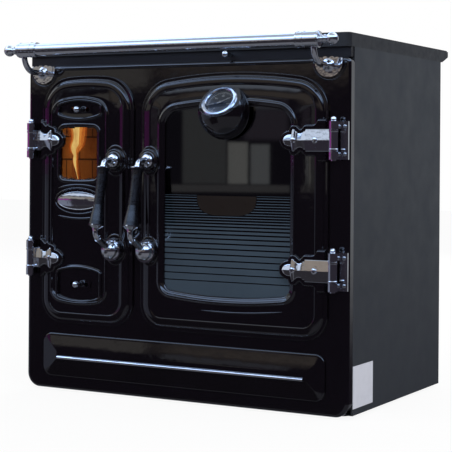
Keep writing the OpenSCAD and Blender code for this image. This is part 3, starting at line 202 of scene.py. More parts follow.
def at_front(pts, h):
    """Points of the front plane, h in front of the casting's face, as metres."""
    return [Vector((x, FY - h, z)) * MM for x, z in pts]


def at_door(pts, side, top):
    """Like at_front, with one height at the sides and another along the top of a door."""
    out = []
    for x, z in pts:
        t = min(1.0, max(0.0, (z - 706) / 28))
        out.append(Vector((x, FY - side + (side - top) * t * t * (3 - 2 * t), z)) * MM)
    return out


def stack(outline, prof):
    """Rings of an outline at the insets and heights of a profile."""
    return [at_front(outline(d), h) for d, h in prof]


# Mesh helpers

def add(name, data):
    """A new object in the scene."""
    ob = bpy.data.objects.new(name, data)
    bpy.context.scene.collection.objects.link(ob)
    return ob


def piece(name, verts, faces, key=None, body=None, slot=None, angle=38, weighted=True):
    """A new object from vertices in metres. With a material's key it rides on a body; the slot argument is
    not used.
    """
    me = bpy.data.meshes.new(name)
    me.from_pydata([tuple(v) for v in verts], [], faces)
    me.validate()
    bm = bmesh.new()
    bm.from_mesh(me)
    bmesh.ops.remove_doubles(bm, verts=bm.verts, dist=1e-6)
    bmesh.ops.recalc_face_normals(bm, faces=bm.faces)
    bm.to_mesh(me)
    bm.free()
    ob = add(name, me)
    finish_mesh(ob, angle, weighted)
    if key is not None:
        me.materials.append(MATS[key])
        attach(ob, body)
    return ob


def finish_mesh(ob, angle=38, weighted=True):
    """Smooth shading between sharp edges."""
    ob.data.shade_smooth()
    ob.data.set_sharp_from_angle(angle=math.radians(angle))
    if weighted:
        mod = ob.modifiers.new("normals", "WEIGHTED_NORMAL")
        mod.keep_sharp = True


def loft(rings, closed=False, caps=(True, True), loop=True):
    """Vertices and faces through rings of equal counts."""
    n, m = len(rings[0]), len(rings)
    verts = [p for r in rings for p in r]
    faces = []
    for k in range(m if closed else m - 1):
        q = (k + 1) % m
        for i in range(n if loop else n - 1):
            j = (i + 1) % n
            faces.append((k * n + i, k * n + j, q * n + j, q * n + i))
    if not closed and caps[0]:
        faces.append(tuple(range(n)))
    if not closed and caps[1]:
        faces.append(tuple((m - 1) * n + i for i in range(n)))
    return verts, faces


def join(parts):
    """One vertex and face list from several."""
    verts, faces = [], []
    for v, f in parts:
        k = len(verts)
        verts += list(v)
        faces += [tuple(i + k for i in face) for face in f]
    return verts, faces


def grid(rows, cols):
    """Faces of a sheet whose vertices run along its rows."""
    return [(q, q + 1, q + cols + 2, q + cols + 1) for j in range(rows)
            for q in range(j * (cols + 1), j * (cols + 1) + cols)]


def prism(pts, h0, h1):
    """Closed block from an outline between two heights."""
    return loft([at_front(pts, h0), at_front(pts, h1)])


def revolve(profile, origin, axis, n=64):
    """Profile of (radius, height) turned round an axis, in millimetres."""
    z = Vector(axis).normalized()
    x = z.orthogonal().normalized()
    y = z.cross(x)
    o = Vector(origin)
    rings = []
    for i in range(n):
        a = math.radians(360 * i / n)
        d = x * math.cos(a) + y * math.sin(a)
        rings.append([(o + d * r + z * h) * MM for r, h in profile])
    return loft(rings, closed=True, loop=False)


def sweep(path, radius, n=12, normal=None, flat=1.0):
    """Tube along points in metres; radius is a number or one per point, in metres."""
    count = len(path)
    rings = []
    for i, p in enumerate(path):
        t = (path[min(i + 1, count - 1)] - path[max(i - 1, 0)]).normalized()
        side = normal.copy() if normal is not None else t.orthogonal()
        side = (side - t * side.dot(t)).normalized()
        other = t.cross(side)
        r = radius[i] if isinstance(radius, (list, tuple)) else radius
        rings.append([p + side * (r * flat * math.cos(2 * math.pi * k / n))
                      + other * (r * math.sin(2 * math.pi * k / n)) for k in range(n)])
    return loft(rings)


def rib(pts, h, width, height, taper=0.18):
    """Half-round rib along points of the front plane, thinning towards its ends."""
    count = len(pts)
    path = at_front(pts, h)
    radius = []
    for i in range(count):
        e = min(i, count - 1 - i) / (count - 1) / taper
        radius.append(width / 2 * MM * max(0.05, min(1.0, e) ** 0.6))
    return sweep(path, radius, 10, Vector((0, -1, 0)), 2 * height / width)


def carve(ob, cutters):
    """Cuts solids, given as vertices and faces, out of an object for good."""
    made = []
    for i, (v, f) in enumerate(cutters):
        cut = piece(f"cutter_{i}", v, f, weighted=False)
        made.append(cut)
        mod = ob.modifiers.new(f"cut_{i}", "BOOLEAN")
        mod.operation, mod.solver, mod.object = "DIFFERENCE", "EXACT", cut
    bpy.context.view_layer.update()
    result = bpy.data.meshes.new_from_object(ob.evaluated_get(bpy.context.evaluated_depsgraph_get()))
    ob.modifiers.clear()
    old, ob.data = ob.data, result
    bpy.data.meshes.remove(old)
    for cut in made:
        me = cut.data
        bpy.data.objects.remove(cut)
        bpy.data.meshes.remove(me)
    finish_mesh(ob)


# Materials

class Nodes:
    """Short hand for a material's node tree."""

    def __init__(self, name):
        self.mat = bpy.data.materials.new(name)
        self.mat.use_nodes = True
        self.tree = self.mat.node_tree
        self.bsdf = self.tree.nodes["Principled BSDF"]
        self.place = None

    def new(self, kind, **sets):
        n = self.tree.nodes.new(kind)
        for k, v in sets.items():
            setattr(n, k, v)
        return n

    def link(self, a, b):
        self.tree.links.new(a, b)

    def set(self, **values):
        for k, v in values.items():
            self.bsdf.inputs[k.replace("_", " ")].default_value = v

    def coords(self):
        if self.place is None:
            self.place = self.new("ShaderNodeTexCoord").outputs["Object"]
        return self.place

    def noise(self, scale, detail=3.0, stretch=None, rough=0.55):
        n = self.new("ShaderNodeTexNoise")
        n.inputs["Scale"].default_value = scale
        n.inputs["Detail"].default_value = detail
        n.inputs["Roughness"].default_value = rough
        where = self.coords()
        if stretch is not None:
            m = self.new("ShaderNodeMapping")
            m.inputs["Scale"].default_value = stretch
            self.link(where, m.inputs["Vector"])
            where = m.outputs["Vector"]
        self.link(where, n.inputs["Vector"])
        return n.outputs["Fac"]

    def ramp(self, fac, stops):
        n = self.new("ShaderNodeValToRGB")
        el = n.color_ramp.elements
        while len(el) < len(stops):
            el.new(0.5)
        for e, (p, c) in zip(el, stops):
            e.position = p
            e.color = (*c, 1.0)
        self.link(fac, n.inputs["Fac"])
        return n.outputs["Color"]

    def span(self, fac, lo, hi, a=0.3, b=0.7):
        n = self.new("ShaderNodeMapRange")
        n.inputs["From Min"].default_value = a
        n.inputs["From Max"].default_value = b
        n.inputs["To Min"].default_value = lo
        n.inputs["To Max"].default_value = hi
        self.link(fac, n.inputs["Value"])
        return n.outputs["Result"]

    def bump(self, layers):
        """Bump from (height socket, distance in metres, strength) layers."""
        normal = None
        for fac, dist, strength in layers:
            n = self.new("ShaderNodeBump")
            n.inputs["Distance"].default_value = dist
            n.inputs["Strength"].default_value = strength
            self.link(fac, n.inputs["Height"])
            if normal is not None:
                self.link(normal, n.inputs["Normal"])
            normal = n.outputs["Normal"]
        self.link(normal, self.bsdf.inputs["Normal"])

    def calc(self, operation, a, b=None):
        """Math node of a socket and a second socket or number."""
        n = self.new("ShaderNodeMath", operation=operation)
        self.link(a, n.inputs[0])
        if isinstance(b, (int, float)):
            n.inputs[1].default_value = b
        elif b is not None:
            self.link(b, n.inputs[1])
        return n.outputs["Value"]

    def surface(self, shader):
        self.link(shader, self.tree.nodes["Material Output"].inputs["Surface"])

    def blend(self, fac, a, b):
        """Two mixed shaders as the surface."""
        n = self.new("ShaderNodeMixShader")
        for socket, key in ((fac, "Fac"), (a, 1), (b, 2)):
            self.link(socket, n.inputs[key])
        self.surface(n.outputs["Shader"])


def lin(r, g, b):
    """Linear colour from 8-bit display values."""
    return tuple(((c / 255 + 0.055) / 1.055) ** 2.4 if c > 10 else c / 255 / 12.92 for c in (r, g, b))


def shade(c, k):
    """Colour made lighter or darker."""
    return tuple(min(1.0, v * k) for v in c)


def plain(name, colour, rough, metal=0.0, vary=0.15, scale=14.0, rough_vary=0.05, waves=None, grain=None,
          **sets):
    """Principled material with broad colour and gloss variation, optional waves and grain."""
    m = Nodes(name)
    big = m.noise(scale, 4.0)
    m.link(m.ramp(big, [(0.25, shade(colour, 1 - vary)), (0.75, shade(colour, 1 + vary))]),
           m.bsdf.inputs["Base Color"])
    fine = m.noise(scale * 5, 5.0)
    m.link(m.span(fine, max(0.0, rough - rough_vary), rough + rough_vary), m.bsdf.inputs["Roughness"])
    m.set(Metallic=metal, **sets)
    layers = []
    if waves:
        layers.append((m.noise(waves[0], 2.0), waves[1], 1.0))
    if grain:
        layers.append((m.noise(grain[0], 4.0), grain[1], 1.0))
    if layers:
        m.bump(layers)
    return m.mat


# Materials whose name isn't their key
NAMES = dict(print="glass_print", patch="glass_painted_shade", bezel="bezel_chrome_shaded", fascia="fascia_enamel",
             mark="dial_mark")


def make_materials():
    """All materials, by slot name or by the name that a piece asks for."""
    out = {}

    def put(key, *args, **sets):
        out[key] = plain(NAMES.get(key, key), *args, **sets)

    put("black_enamel", lin(9, 6, 11), 0.05, vary=0.25, scale=6, rough_vary=0.02, waves=(26, 0.00035),
        grain=(420, 0.000012), Coat_Weight=1.0, Coat_Roughness=0.02)
    put("dark_sheet", lin(46, 49, 54), 0.48, vary=0.08, scale=3.2, rough_vary=0.06, waves=(4, 0.0006),
        grain=(900, 0.00004))
    put("hob_iron", lin(34, 34, 36), 0.5, vary=0.2, scale=9, rough_vary=0.08, grain=(700, 0.0001))
    put("chrome", (0.78, 0.79, 0.82), 0.06, 1.0, vary=0.05, scale=40, rough_vary=0.03, waves=(60, 0.0003))
    put("zinc_steel", (0.5, 0.51, 0.52), 0.34, 1.0, vary=0.18, scale=60, rough_vary=0.1,
        grain=(900, 0.00003))
    put("stove_steel", lin(58, 54, 52), 0.6, 0.4, vary=0.3, scale=18, rough_vary=0.12, grain=(500, 0.00008))
    put("grate_iron", lin(48, 45, 44), 0.68, 0.2, vary=0.35, scale=30, rough_vary=0.12, grain=(380, 0.0002))
    out["firebrick"] = make_brick()
    put("oven_enamel", lin(62, 64, 68), 0.3, vary=0.2, scale=20, rough_vary=0.08, grain=(600, 0.00004))
    out["rope_seal"] = make_rope()
    put("grip_black", lin(11, 11, 17), 0.3, vary=0.2, scale=30, rough_vary=0.08, grain=(700, 0.00003),
        Coat_Weight=0.3, Coat_Roughness=0.2)
    put("label", lin(226, 227, 238), 0.45, vary=0.04, scale=60, rough_vary=0.06, grain=(1200, 0.00001))
    out["dial"] = make_dial()
    put("needle", lin(205, 208, 215), 0.3, 0.4, vary=0.05, scale=200)
    out["tinted_glass"] = make_glass("tinted_glass", (0.42, 0.43, 0.44), 0.11)
    out["fire_glass"] = make_glass("fire_glass", (0.88, 0.82, 0.72), 0.05)
    out["clear_glass"] = make_glass("clear_glass", (0.85, 0.87, 0.86), 0.05)
    out["bezel_glass"] = make_glass("bezel_glass", (0.95, 0.97, 0.98), 0.06)
    put("print", lin(62, 76, 90), 0.22, vary=0.08, scale=7, rough_vary=0.03, waves=(9, 0.0002),
        Coat_Weight=0.6, Coat_Roughness=0.03)
    # Dark brown for the half oval on the oven glass: painted shade of the dim oven behind it
    put("patch", lin(30, 23, 19), 0.3, vary=0.1, scale=9, rough_vary=0.03)
    # Darker, bluer chrome for the upturned thermometer bezel: painted shade that tones down its sky
    # reflection
    put("bezel", (0.66, 0.72, 0.82), 0.18, 1.0, vary=0.08, scale=60, rough_vary=0.04)
    put("fascia", lin(16, 13, 17), 0.42, vary=0.2, scale=8, rough_vary=0.05, grain=(420, 0.00002))
    put("mark", lin(226, 228, 232), 0.4, vary=0.03, scale=300)
    out["log"] = make_log()
    for name, colour, strength, alpha in (
            ("flame_dim", (0.35, 0.05, 0.012), 0.5, 0.55),
            ("flame_edge", (0.95, 0.2, 0.03), 0.7, 0.6),
            ("flame_mid", (1.0, 0.42, 0.09), 1.0, 0.8),
            ("flame_core", (1.0, 0.8, 0.33), 1.25, 0.95)):
        out[name] = make_flame(name, colour, strength, alpha)
    out["embers"] = make_embers()
    return out


def make_brick():
    """Firebrick in courses, set out along the walls and upwards."""
    m = Nodes("firebrick")
    sep = m.new("ShaderNodeSeparateXYZ")
    m.link(m.coords(), sep.inputs["Vector"])
    flat = m.new("ShaderNodeCombineXYZ")
    m.link(m.calc("ADD", sep.outputs["X"], sep.outputs["Y"]), flat.inputs["X"])
    m.link(sep.outputs["Z"], flat.inputs["Y"])
    wall = m.new("ShaderNodeTexBrick")
    m.link(flat.outputs["Vector"], wall.inputs["Vector"])
    for key, value in (("Scale", 1.0), ("Mortar Size", 0.0022), ("Mortar Smooth", 0.3),
                       ("Brick Width", 0.115), ("Row Height", 0.058)):
        wall.inputs[key].default_value = value
    wall.inputs["Mortar"].default_value = (*lin(64, 46, 28), 1)
    wall.inputs["Color2"].default_value = (*lin(150, 116, 66), 1)
    big = m.noise(26, 6.0, rough=0.65)
    m.link(m.ramp(big, [(0.2, lin(112, 74, 34)), (0.5, lin(160, 116, 62)), (0.8, lin(190, 152, 94))]),
           wall.inputs["Color1"])
    m.link(wall.outputs["Color"], m.bsdf.inputs["Base Color"])
    m.set(Roughness=0.9)
    m.bump([(wall.outputs["Fac"], -0.002, 1.0), (m.noise(180, 5.0), 0.0012, 0.8)])
    return m.mat


def make_rope():
    """Braided rope seal."""
    m = Nodes("rope_seal")
    w = m.new("ShaderNodeTexWave", wave_type="BANDS", bands_direction="DIAGONAL")
    w.inputs["Scale"].default_value = 160
    w.inputs["Distortion"].default_value = 2.0
    m.link(m.coords(), w.inputs["Vector"])
    m.link(m.ramp(w.outputs["Fac"], [(0.1, lin(118, 114, 108)), (0.8, lin(176, 172, 164))]),
           m.bsdf.inputs["Base Color"])
    m.set(Roughness=0.95)
    m.bump([(w.outputs["Fac"], 0.0008, 1.0)])
    return m.mat


def make_dial():
    """Dark dial with a lighter brushed lower half."""
    m = Nodes("dial")
    sep = m.new("ShaderNodeSeparateXYZ")
    m.link(m.coords(), sep.inputs["Vector"])
    low = m.span(sep.outputs["Z"], 1.0, 0.0, (DIAL_C.z - 16) * MM, (DIAL_C.z + 4) * MM)
    grain = m.noise(500, 3.0, (1.0, 1.0, 12.0))
    tone = m.calc("MULTIPLY", low, m.span(grain, 0.7, 1.0))
    m.link(m.ramp(tone, [(0.0, lin(26, 29, 38)), (1.0, lin(74, 88, 112))]), m.bsdf.inputs["Base Color"])
    m.set(Roughness=0.35)
    return m.mat


def make_glass(name, tint, gloss):
    """Thin pane: sees through with a tint and mirrors more towards its edge."""
    m = Nodes(name)
    m.tree.nodes.remove(m.bsdf)
    clear = m.new("ShaderNodeBsdfTransparent")
    tone = m.noise(5, 2.0)
    m.link(m.ramp(tone, [(0.3, shade(tint, 0.94)), (0.7, tint)]), clear.inputs["Color"])
    mirror = m.new("ShaderNodeBsdfGlossy")
    mirror.inputs["Roughness"].default_value = 0.02
    mirror.inputs["Color"].default_value = (0.9, 0.92, 0.95, 1)
    lay = m.new("ShaderNodeLayerWeight")
    lay.inputs["Blend"].default_value = 0.35
    fac = m.span(lay.outputs["Fresnel"], gloss, 0.9, 0.05, 1.0)
    m.blend(fac, clear.outputs["BSDF"], mirror.outputs["BSDF"])
    return m.mat


def make_log():
    """Charred bark with glowing cracks."""
    m = Nodes("burning_log")
    bark = m.noise(60, 6.0, (1.0, 0.15, 1.0), 0.7)
    m.link(m.ramp(bark, [(0.3, lin(24, 16, 12)), (0.6, lin(74, 50, 34)), (0.8, lin(128, 112, 98))]),
           m.bsdf.inputs["Base Color"])
    glow = m.ramp(m.noise(45, 4.0), [(0.55, (0, 0, 0)), (0.7, (1.0, 0.16, 0.01))])
    m.link(glow, m.bsdf.inputs["Emission Color"])
    m.set(Roughness=0.9, Emission_Strength=1.6)
    m.bump([(bark, 0.003, 0.8)])
    return m.mat


def make_embers():
    """Ash with glowing embers."""
    m = Nodes("embers")
    n = m.noise(70, 4.0)
    m.link(m.ramp(n, [(0.35, lin(40, 30, 26)), (0.6, lin(96, 84, 76))]), m.bsdf.inputs["Base Color"])
    m.link(m.ramp(n, [(0.45, (0.02, 0.004, 0.0)), (0.62, (1.0, 0.2, 0.02)), (0.8, (1.0, 0.5, 0.1))]),
           m.bsdf.inputs["Emission Color"])
    m.set(Roughness=0.95, Emission_Strength=1.4)
    return m.mat


def make_flame(name, colour, strength, alpha):
    """Glowing sheet with wisps."""
    m = Nodes(name)
    m.tree.nodes.remove(m.bsdf)
    wisps = m.noise(60, 4.0, (1.0, 1.0, 0.4), 0.6)
    glow = m.new("ShaderNodeEmission")
    m.link(m.ramp(wisps, [(0.3, shade(colour, 0.75)), (0.7, colour)]), glow.inputs["Color"])
    glow.inputs["Strength"].default_value = strength
    clear = m.new("ShaderNodeBsdfTransparent")
    m.blend(m.span(wisps, alpha * 0.55, alpha), clear.outputs["BSDF"], glow.outputs["Emission"])
    return m.mat


MATS = make_materials()
for name, ob in NODES.items():
    slot_name = next(s["material_slot"] for s in frame["record"]["subparts"] if s["node"] == name)
    for s in ob.material_slots:
        s.material = MATS[slot_name]
# The bezel takes the darker chrome of painted shade, and the fascia takes its own matte enamel
for name, key in (("thermometer_bezel", "bezel"), ("fascia", "fascia")):
    for s in NODES[name].material_slots:
        s.material = MATS[key]


# Camera, from the fit to the photograph

# Right and up in metres, and millimetres in front of the casting's back
EYE_X, EYE_Z, EYE_D = 1.7242, 0.5865, 2881.7
YAW, CAM_ROLL = math.radians(29.17), math.radians(0.40)
ahead = Vector((-math.sin(YAW), math.cos(YAW), 0))
right = Vector((math.cos(YAW), math.sin(YAW), 0))
cam_x = math.cos(CAM_ROLL) * right + math.sin(CAM_ROLL) * Vector((0, 0, 1))
cam_y = (-ahead).cross(cam_x)
cam = add("camera", bpy.data.cameras.new("camera"))
cam.data.sensor_width, cam.data.lens, cam.data.shift_y = 36, 111.41, -0.151
cam.data.clip_start, cam.data.clip_end = 0.05, 100
turn = Matrix((cam_x, cam_y, -ahead)).transposed()
cam.matrix_world = Matrix.Translation((EYE_X, (FY + CAST_D - EYE_D) * MM, EYE_Z)) @ turn.to_4x4()
bpy.context.scene.camera = cam


# Front casting

def rounded_front(x0, x1, z0, z1, r0, r1, depth, edge):
    """Closed block with a rounded front edge, from depth behind the face to the face."""
    rings = [at_front(slab(x0, x1, z0, z1, r0, r1, 0, 24), -depth)]
    for i in range(11):
        a = math.pi / 2 * i / 10
        rings.append(at_front(slab(x0, x1, z0, z1, r0, r1, edge * (1 - math.cos(a)), 24),
                              -edge * (1 - math.sin(a))))
    return loft(rings)


def front_casting():
    v, f = rounded_front(-HALF_W, HALF_W, CAST_Z0, CAST_Z1, *CAST_RS, CAST_D, CAST_EDGE)
    ob = piece("front_casting_smooth", v, f, "black_enamel", "casing")
    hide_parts("front_casting")
    carve(ob, [
        prism(slab(-HALF_W, HALF_W, CAST_Z0, CAST_Z1, *CAST_RS, CAST_WALL, 24), -CAST_D - 1, -CAST_WALL),
        prism(fire_outline(MOUTH_IN), -CAST_D, 3),
        prism(oven_outline(MOUTH_IN), -CAST_D, 3),
        prism(slab(*DRAWER_MOUTH, 6, 6), -CAST_D, 3),
    ])
    # Bead along the top, with rounded ends
    xs = [-BEAD_X + 2 * BEAD_X * i / 60 for i in range(61)]
    radius = [BEAD_R * MM * min(1.0, (0.05 + min(i, 60 - i) / 1.5) ** 0.5) for i in range(61)]
    v, f = sweep([Vector((x, FY, CAST_Z1 - 9)) * MM for x in xs], radius, 20, Vector((0, -1, 0)))
    piece("casting_bead", v, f, "black_enamel", "casing")
    # Raised rims round the two rosettes
    parts = []
    for s in (-1, 1):
        path = arc(s * ROSETTE_X, ROSETTE_Z, ROSETTE_RIM, -183, 6, 63)
        path = [p for p in path if abs(p[0]) < HALF_W - 7]
        parts.append(rib(path, 0, 4.6, 2.0, 0.03))
    piece("rosette_rims", *join(parts), "black_enamel", "casing")


# Rolled edge of a door: inset, height at the sides, height along the top
ROLL = smooth([(0, 3, 3), (0.6, 5.2, 5.2), (2, 5.7, 5.7), (8, 5.6, 5.4), (9.4, 8, 8.2), (11.6, 10.2, 11),
               (14.4, 11.3, 12.4), (18, 12, 12.8), (22, 12.5, 12.8), (24.4, 12.6, 12), (26.6, 12, 9.4)], 4)
BACK = [(44, DOOR_CLEAR), (44, 6.5), (34, 6.5), (34, DOOR_CLEAR), (0, DOOR_CLEAR)]
ROLL_END, OVEN_STRETCH = 26.6, 1.16
WIN_RIDGE = smooth([(-19, BAND_H), (-17, 11.6), (-14.6, 13.8), (-12.5, RIDGE_H), (-10, 14.1), (-7.5, 11.8),
                    (-5, 10.2), (-2, 9.2), (0, 7.5)], 4)
PANEL_RIDGE = smooth([(-13, BAND_H), (-11, 11.6), (-9, 14), (-7, RIDGE_H), (-5, 14), (-3, 11),
                      (-1, PANEL_H)], 4)
# The slope behind the roll rises to this height along the top
SLOPE_H = 11.6


def handle_seats(x, a, b):
    """Cast seats under the two handle bosses, each on a low mound of half width a and half height b."""
    parts = []
    for z, top, raised in zip(BOSS_ZS, (PAD_H + 4.4, LOW_PAD_H), (True, False)):
        mound = smooth([(0, BAND_H - 1), (0.6, BAND_H + 0.6), (2.2, BAND_H + 1.6), (5, BAND_H + 2)], 3)
        parts.append(loft([at_front(ellipse(x, z, a - d, b - d), h) for d, h in mound], caps=(False, True)))
        prof = smooth([(29.4, BAND_H + 1.4), (28.2, BAND_H + 2.3), (27.3, BAND_H + 3.6)], 3)
        prof += smooth([(27.1, top - 1.4), (26.9, top - 0.5), (25.6, top - 0.02)], 3)
        if raised:
            prof += smooth([(22, top + 0.3), (19.6, top + 1.6), (18.9, top + 3.4), (17.5, top + 6.2)], 3)
        else:
            prof.append((0, top - 0.02))
        parts.append(revolve(prof, (x, FY, z), (0, -1, 0)))
    return parts


def strap_half(e):
    """Half height of a strap at a distance e from its tip."""
    def bulge(circle):
        return math.sqrt(circle[2] ** 2 - (e - circle[0]) ** 2)

    if e < 0:
        return -1.0
    if e < TIP[0]:
        h = TIP[1] * math.sqrt(max(0.0, 1 - (1 - e / TIP[0]) ** 2))
    elif e < SHOULDER[0]:
        h = TIP[1]
    elif e > BODY[0]:
        h = BODY[1]
    else:
        h = SHOULDER[1]
        if abs(e - LOBE[0]) < LOBE[2]:
            h = LOBE[1] + bulge(LOBE)
    if abs(e - NOTCH[0]) < NOTCH[2]:
        h = min(h, NOTCH[1] - bulge(NOTCH))
    if abs(e - WAIST[0]) < WAIST[2]:
        h = min(h, WAIST[1] - bulge(WAIST))
    return h


def grown_half(e, l, r):
    """Half height of the strap's outline grown by r."""
    best = 0.0
    for k in range(-20, 21):
        u = e + r * k / 20
        if -0.01 <= u <= l:
            best = max(best, strap_half(max(u, 0.0)) + r * math.sqrt(max(0.0, 1 - (k / 20) ** 2)))
    return best


def strap_pad(z, l, side, edge_x):
    """Cast pad that follows a strap's outline; side is 1 for the right and -1 for the left."""
    layers = [(11.6, 5.5), (11, BAND_H - 0.6), (10.4, 12.5), (9.4, 14.6), (8.2, 15.9), (6.8, PAD_H)]
    tip = PIN_X - l
    n = 60
    rings = []
    for r, h in layers:
        x0, x1 = tip - r, edge_x
        top, low = [], []
        for i in range(n + 1):
            t = i / n
            t = t * t * (1.6 - 0.6 * t)
            x = x0 + (x1 - x0) * t
            half = grown_half(x - tip, l, r)
            near = min(1.0, max(0.0, (x - edge_x + 34) / 13))
            half += 12 * (1 - math.sqrt(1 - near * near))
            top.append((side * x, z + half))
            low.append((side * x, z - half))
        rings.append(at_front(top + low[::-1], h))
    return loft(rings, caps=(False, True))


def fire_inner(dx, dz, rt):
    """Inner outline of the firebox door's roll, inset by dx at its right and dz at its top."""
    inner = dict(FIRE, x0=FIRE["x0"] + 26.8, x1=FIRE["x1"] - dx, z0=FIRE["z0"] + 27, z1=FIRE["z1"] - dz,
                 rise=13)
    return shield(inner, rt, 36)


def firebox_door():
    rings = stack(fire_outline, BACK)
    edge, inner = fire_outline(0), fire_inner(31, 31, 55)
    for d, side, top in ROLL:
        t = d / ROLL_END
        pts = [(a + (c - a) * t, b + (e - b) * t) for (a, b), (c, e) in zip(edge, inner)]
        rings.append(at_door(pts, side, top))
    rings.append(at_door(fire_inner(38, 49, 46), BAND_H, SLOPE_H))
    rings += stack(panel_outline, PANEL_RIDGE)
    ob = piece("firebox_door_cast", *loft(rings), "black_enamel", "firebox_door")
    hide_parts("firebox_door")
    cuts = [prism(pane_outline(0), -1, 20), prism(pane_outline(-9.5), -1, LIP_H)]
    for f in REGISTERS:
        cx, z = (f["x0"] + f["x1"]) / 2, (f["z0"] + f["z1"]) / 2
        cuts.append(prism(register_outline(f, 8), LENS_FLOOR, 20))
        for s in (-1, 1):
            cuts.append(prism(ellipse(cx + 21 * s, z, 5.5, 5.5, 32), -1, 6))
        cuts.append(prism([(cx + a * 12.5, z + b * 3.5) for a, b in CORNERS], -1, 6))
    carve(ob, cuts)
    # Seats of the handle and the straps
    parts = handle_seats(HANDLE_XS["firebox_door"], 33, 39)
    parts += [strap_pad(z, STRAP_FIRE, -1, -FIRE["x0"] - 3) for z in HINGE_ZS]
    piece("firebox_door_pads", *join(parts), "black_enamel", "firebox_door")


def firebox_ribs():
    """Raised rims of the air registers, the window and the oval plate, and two curved ribs."""
    parts = []
    prof = smooth([(-1.5, PANEL_H - 0.6), (-0.3, 10.4), (1.6, 12.8), (4, 14), (6.2, 13.2), (7.6, 10.8),
                   (8.2, 5)], 4)
    for f in REGISTERS:
        parts.append(loft([at_front(register_outline(f, d), h) for d, h in prof], caps=(False, False)))
    prof = smooth([(-11, PANEL_H - 0.5), (-9.5, 10.6), (-7, 11.4), (-3.5, 11.0), (-1, 9.0), (0.3, 6.2),
                   (0.6, 4.6)], 4)
    parts.append(loft(stack(pane_outline, prof), caps=(False, False)))
    # Ribs above and below the oval plate
    xs = [-346 + 120 * i / 40 for i in range(41)]
    for mid, z, drop, width in ((-281, 516.4, -9, 6.4), (-283, 433.4, 7.2, 6.0)):
        path = [(x, z + drop * ((x - mid) / 65) ** 2) for x in xs]
        parts.append(rib(path, PANEL_H - 0.4, width, 2.6))
    prof = smooth([(-0.6, PANEL_H - 0.5), (0.6, 10.1), (2, 10.7), (3.4, 10.1), (4.6, PANEL_H - 0.5)], 3)
    parts.append(loft([at_front(ellipse(FACE_X, BADGE_Z, 72 - d, 34 - d), h) for d, h in prof],
                      caps=(False, False)))
    piece("firebox_door_ribs", *join(parts), "black_enamel", "firebox_door")


def badge():
    """Shallow dome of the bare oval plate."""
    prof = smooth([(0, PANEL_H), (0.1, 10.2), (0.9, 11.0), (2.2, 10.9), (3.0, 10.7)], 4)
    a, b = BADGE_L / 2, BADGE_H / 2
    rings = [at_front(ellipse(FACE_X, BADGE_Z, a - d, b - d), h) for d, h in prof]
    for k in range(1, 13):
        t = 1 - k / 12.3
        oval = ellipse(FACE_X, BADGE_Z, (a - 3.2) * t, (b - 3.2) * t)
        rings.append(at_front(oval, 10.9 + 2.6 * (1 - t ** 2)))
    ob = piece("badge_oval", *loft(rings), "chrome", "firebox_door", angle=60)
    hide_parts("badge_plate")


def oven_door():
    rings = stack(oven_outline, BACK)
    rings += [at_door(oven_outline(d * OVEN_STRETCH), side, top) for d, side, top in ROLL]
    rings.append(at_door(oven_outline(49), BAND_H, SLOPE_H))
    seat = [(0, LIP_H), (-10.5, LIP_H), (-10.5, DOOR_CLEAR)]
    rings += stack(window_outline, WIN_RIDGE + seat)
    ob = piece("oven_door_cast", *loft(rings, closed=True), "black_enamel", "oven_door")
    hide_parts("oven_door")
    parts = handle_seats(HANDLE_XS["oven_door"], 27.4, 37)
    parts += [strap_pad(z, STRAP_OVEN, 1, OVEN["x1"] - 3) for z in HINGE_ZS]
    # Shallow ribs under the window
    cx = (WIN["x0"] + WIN["x1"]) / 2
    big = bow(336, 12) + 30
    path = [(cx + big * math.sin(math.radians(a)), WIN["z0"] + big - 34 - big * math.cos(math.radians(a)))
            for a in [-3.2 + 10.6 * i / 60 for i in range(61)]]
    parts.append(rib(path, BAND_H - 0.5, 4.4, 2.0))
    piece("oven_door_pads", *join(parts), "black_enamel", "oven_door")


def half_width(f, rt, rb, z):
    """Left and right edge of an outline at a height, from its fine polygon."""
    pts = shield(f, rt, rb, 0.4)
    xs = []
    for (xa, za), (xb, zb) in zip(pts, pts[1:] + pts[:1]):
        if (za - z) * (zb - z) <= 0 and za != zb:
            xs.append(xa + (xb - xa) * (z - za) / (zb - za))
    return (min(xs), max(xs)) if len(xs) > 1 else None


